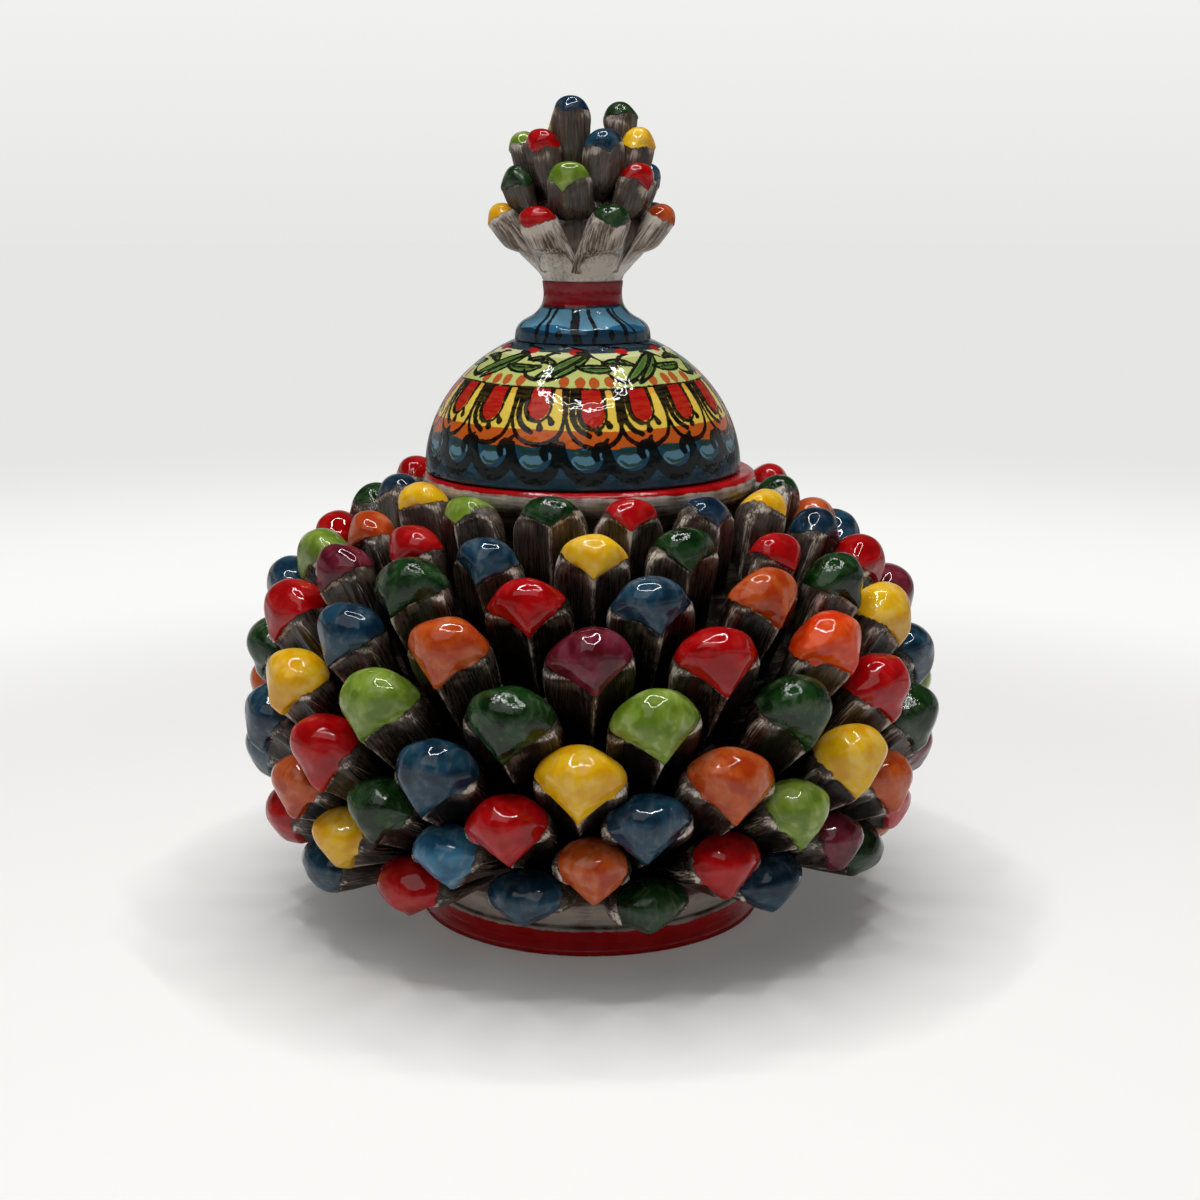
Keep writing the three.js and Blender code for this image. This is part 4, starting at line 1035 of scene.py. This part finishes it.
class JAR_OT_lid(bpy.types.Operator):
    """Builds the painted dome, its flange and the neck of the finial"""

    bl_idname = "jar.lid"
    bl_label = "Build the Lid"

    def execute(self, context):
        sizes, glazes = context.scene.jar_sizes, context.scene.jar_glazes
        wander = sizes.wander / MM * 0.6
        outside = dome_height(np.linspace(0.012, 0.985, 110))
        edge = np.array([(57.3, 166.4), (57.8, 166.6)])
        crown = np.array([(24.2, 213.3), (15, 213.3), (VENT_RADIUS, 213.3)])
        angle = np.linspace(math.acos(VENT_RADIUS / HOLLOW_RADIUS), 0, 14)
        inside = np.stack([HOLLOW_RADIUS * np.cos(angle),
                           HOLLOW_BASE + HOLLOW_RISE * np.sin(angle) / math.sin(angle[0])], axis=-1)
        foot = np.array([(HOLLOW_RADIUS, 168.5), (HOLLOW_RADIUS, DOME_BASE), (54.5, DOME_BASE)])
        line = np.concatenate([edge, outside, crown, inside, foot])
        sheet, azimuth = carry_round(line, 640, LID_X, wander, 3)
        mesh = skin_mesh("lid_dome", sheet, loop_rows=True)
        # Distances up the surface from the rim, for the painted points; the hollow side is left bare
        run = np.concatenate([[0], np.cumsum(np.hypot(*np.diff(outside, axis=0).T))]) + 0.7
        up = np.concatenate([[-0.3, 0.2], run, run[-1] + np.array([1, 2, 3])])
        blank = np.full((len(line) - len(up), len(azimuth)), OUTSIDE)
        layers = dome_paint(*np.broadcast_arrays(azimuth[None, :], up[:, None]))
        store(mesh, sheet, **{name: np.concatenate([values, blank])[None] for name, values in layers.items()})
        paint = brushed_paint("Majolica painting under clear glaze on earthenware", "1a3f54", (
            ("navy", "16303f", 0.95), ("pale_wave", "5f8a9c", 0.75), ("green_wave", "1f3527", 0.9),
            ("orange", "bc5618", 1.0), ("yellow", "e0c24e", 1.0), ("stained", "cf8634", 0.6),
            ("dark_wave", "080e0c", 1.0), ("lime", "bcc474", 1.0), ("pale_lime", "dcdcaa", 0.8),
            ("leaf", "5b7d3a", 1.0), ("leaf_shade", "2c4a1c", 0.6), ("orange_dot", "b0481a", 0.97),
            ("drop", "a8090f", 1.0), ("dark_top", "182e40", 1.0), ("red_dot", "b50f16", 1.0),
            ("black", "0b0806", 1.0)))
        new_piece("lid_dome", mesh, "lid", paint)

        line = soft_line(((41.4, 153, 0), (46.4, 153, 1.2), (46.4, 166.2, 0.3), (51.2, 166.4, 0.5),
                          (51.2, 170.7, 0.6), (41.4, 170.7, 1.2), (41.4, 153, 0)))[:-1]
        sheet, _ = carry_round(line, 96, LID_X, wander, 4)
        mesh = skin_mesh("lid_flange", sheet, loop_rows=True)
        store(mesh, sheet, wash=0.05, red=OUTSIDE)
        cream = thrown_clay("Clear glaze on cream earthenware, thrown", glazes, glazes.red, 0.16)
        new_piece("lid_flange", mesh, "lid", cream)

        line = soft_line(((VENT_RADIUS, NECK_BASE, 0), (24.8, NECK_BASE, 0.1), (24.4, 217.4, 1.6),
                          (22.6, 219.8, 1.4), (17.4, 222.6, 2), (14.9, 225.8, 1.6), (14.1, 229.5, 2),
                          (14.7, NECK_TOP, 0.4), (VENT_RADIUS, NECK_TOP, 0), (VENT_RADIUS, NECK_BASE, 0)),
                         0.55)[:-1]
        sheet, azimuth = carry_round(line, 260, LID_X, wander * 0.6, 5)
        mesh = skin_mesh("lid_neck", sheet, loop_rows=True)
        layers = neck_paint(*np.broadcast_arrays(azimuth[None, :], line[:, 1:] - NECK_BASE))
        store(mesh, sheet, **{name: values[None] for name, values in layers.items()})
        # The pale blue of the thin layer is a painted highlight on the step's upper part, and shadow a
        # painted shadow at the collar's foot
        paint = brushed_paint("Sky-blue glaze with painted strokes on earthenware", "2c668a", (
            ("thin", "74a9c1", 0.7), ("deep", "142c3e", 0.95), ("black", "0f0b09", 0.97),
            ("red", "8c0a10", 1.0), ("shadow", "1c100e", 0.85)))
        new_piece("lid_neck", mesh, "lid", paint)
        return {"FINISHED"}


class JAR_OT_finial(bpy.types.Operator):
    """Builds the small pine cone on top of the lid"""

    bl_idname = "jar.finial"
    bl_label = "Build the Finial"

    def execute(self, context):
        sizes, glazes = context.scene.jar_sizes, context.scene.jar_glazes
        # The core's skin swells where each of the lowest scales grows out of it
        skin = spline(CORE_SKIN, 8)
        vent = np.array([(VENT_RADIUS, VENT_END), (VENT_RADIUS, VENT_END / 2), (VENT_RADIUS, 0)])
        line = np.concatenate([vent, skin[:-1]]) + np.array([0, CORE_BASE])
        sheet, azimuth = carry_round(line, 180, LID_X, 0.2, 6)
        height = line[:, 1][None, :, None] - CORE_BASE
        outer = (np.arange(len(line)) >= len(vent))[None, :, None]
        swell = smooth(3, 11, height) * (1 - smooth(16, 24, height)) * outer
        lowest = FINIAL_ROWS[0]
        ridge = np.cos(np.radians(lowest["count"] * (azimuth - lowest["turn"])))[None, None, :]
        axis = np.array([LID_X, 0])
        sheet[..., :2] = axis + (sheet[..., :2] - axis) * (1 + 0.07 * swell * ridge)[..., None]
        mesh = skin_mesh("finial_core", sheet, start=[(LID_X, 0, CORE_BASE + VENT_END)],
                         end=[(LID_X, 0, CORE_BASE + CORE_SKIN[-1][1])])
        # The wash thickens up the core, and between the lowest scales
        wash = (0.06 + 0.34 * smooth(5, 13, height) + 0.5 * smooth(14, 24, height)
                + 0.22 * swell * (0.5 - 0.5 * ridge))
        store(mesh, sheet, (0, -1), wash=wash, red=OUTSIDE)
        cream = thrown_clay(
            "Clear glaze over wiped wash, modelled", glazes, glazes.red, 0.16, brush=(900, 900, 120))
        new_piece("finial_core", mesh, "lid", cream)

        core = spline(CORE, 8)
        material = dipped_clay(glazes)
        for i, row in enumerate(FINIAL_ROWS):
            count = row["count"]
            seed = 1000 + i * 100 + np.arange(count)
            turned, longer = np.array(row["shifts"]).T
            azimuth = row["turn"] + 360 / count * np.arange(count) + 3 * stray(seed) + turned
            lift = row["lift"] + 2 * stray(seed + 0.3)
            root = np.interp(row["height"], core[:, 1], core[:, 0])
            reach = row["reach"] + longer + 0.8 * stray(seed + 0.7)
            points, crown, marks = pinched_scales(row, reach, seed, sizes)
            height = CORE_BASE + row["height"]
            sheets, crown = (stand_scales(part, azimuth, root, height, lift) + (LID_X, 0, 0)
                             for part in (points, crown))
            tints = tip_tints(glazes, row["glazes"].split())
            for j in range(count):
                one = slice(j, j + 1)
                own = {key: value[one] for key, value in marks.items()}
                name = f"finial_scale_{i + 1}_{j + 1}"
                mesh = scale_mesh(name, sheets[one], crown[one], own, tints[one])
                new_piece(name, mesh, "lid", material)
        return {"FINISHED"}


class JAR_PT_sidebar(bpy.types.Panel):
    """Lists the steps that build the jar and the sizes and colours they use."""

    bl_idname = "JAR_PT_sidebar"
    bl_label = "Sweet Jar"
    bl_space_type = "VIEW_3D"
    bl_region_type = "UI"
    bl_category = "Sweet Jar"

    def draw(self, context):
        for step in STEPS:
            self.layout.operator(step.bl_idname)
        for group in (context.scene.jar_sizes, context.scene.jar_glazes, context.scene.jar_stage):
            box = self.layout.box()
            for name in group.bl_rna.properties.keys():
                if name not in ("rna_type", "name"):
                    box.prop(group, name)


STEPS = (JAR_OT_stage, JAR_OT_vessel, JAR_OT_scales, JAR_OT_lid, JAR_OT_finial)
GROUPS = {"jar_sizes": JarSizes, "jar_glazes": JarGlazes, "jar_stage": JarStage}


def register():
    """Registers the classes and hangs the property groups on the scene."""
    for item in (*GROUPS.values(), *STEPS, JAR_PT_sidebar):
        bpy.utils.register_class(item)
    for name, group in GROUPS.items():
        setattr(bpy.types.Scene, name, bpy.props.PointerProperty(type=group))


def unregister():
    """Takes away what register added."""
    for name in GROUPS:
        delattr(bpy.types.Scene, name)
    for item in reversed((*GROUPS.values(), *STEPS, JAR_PT_sidebar)):
        bpy.utils.unregister_class(item)


def main():
    """Builds the stage and every piece in order."""
    register()
    bpy.ops.jar.stage()
    bpy.ops.jar.vessel()
    bpy.ops.jar.scales()
    bpy.ops.jar.lid()
    bpy.ops.jar.finial()


if __name__ == "__main__":
    main()
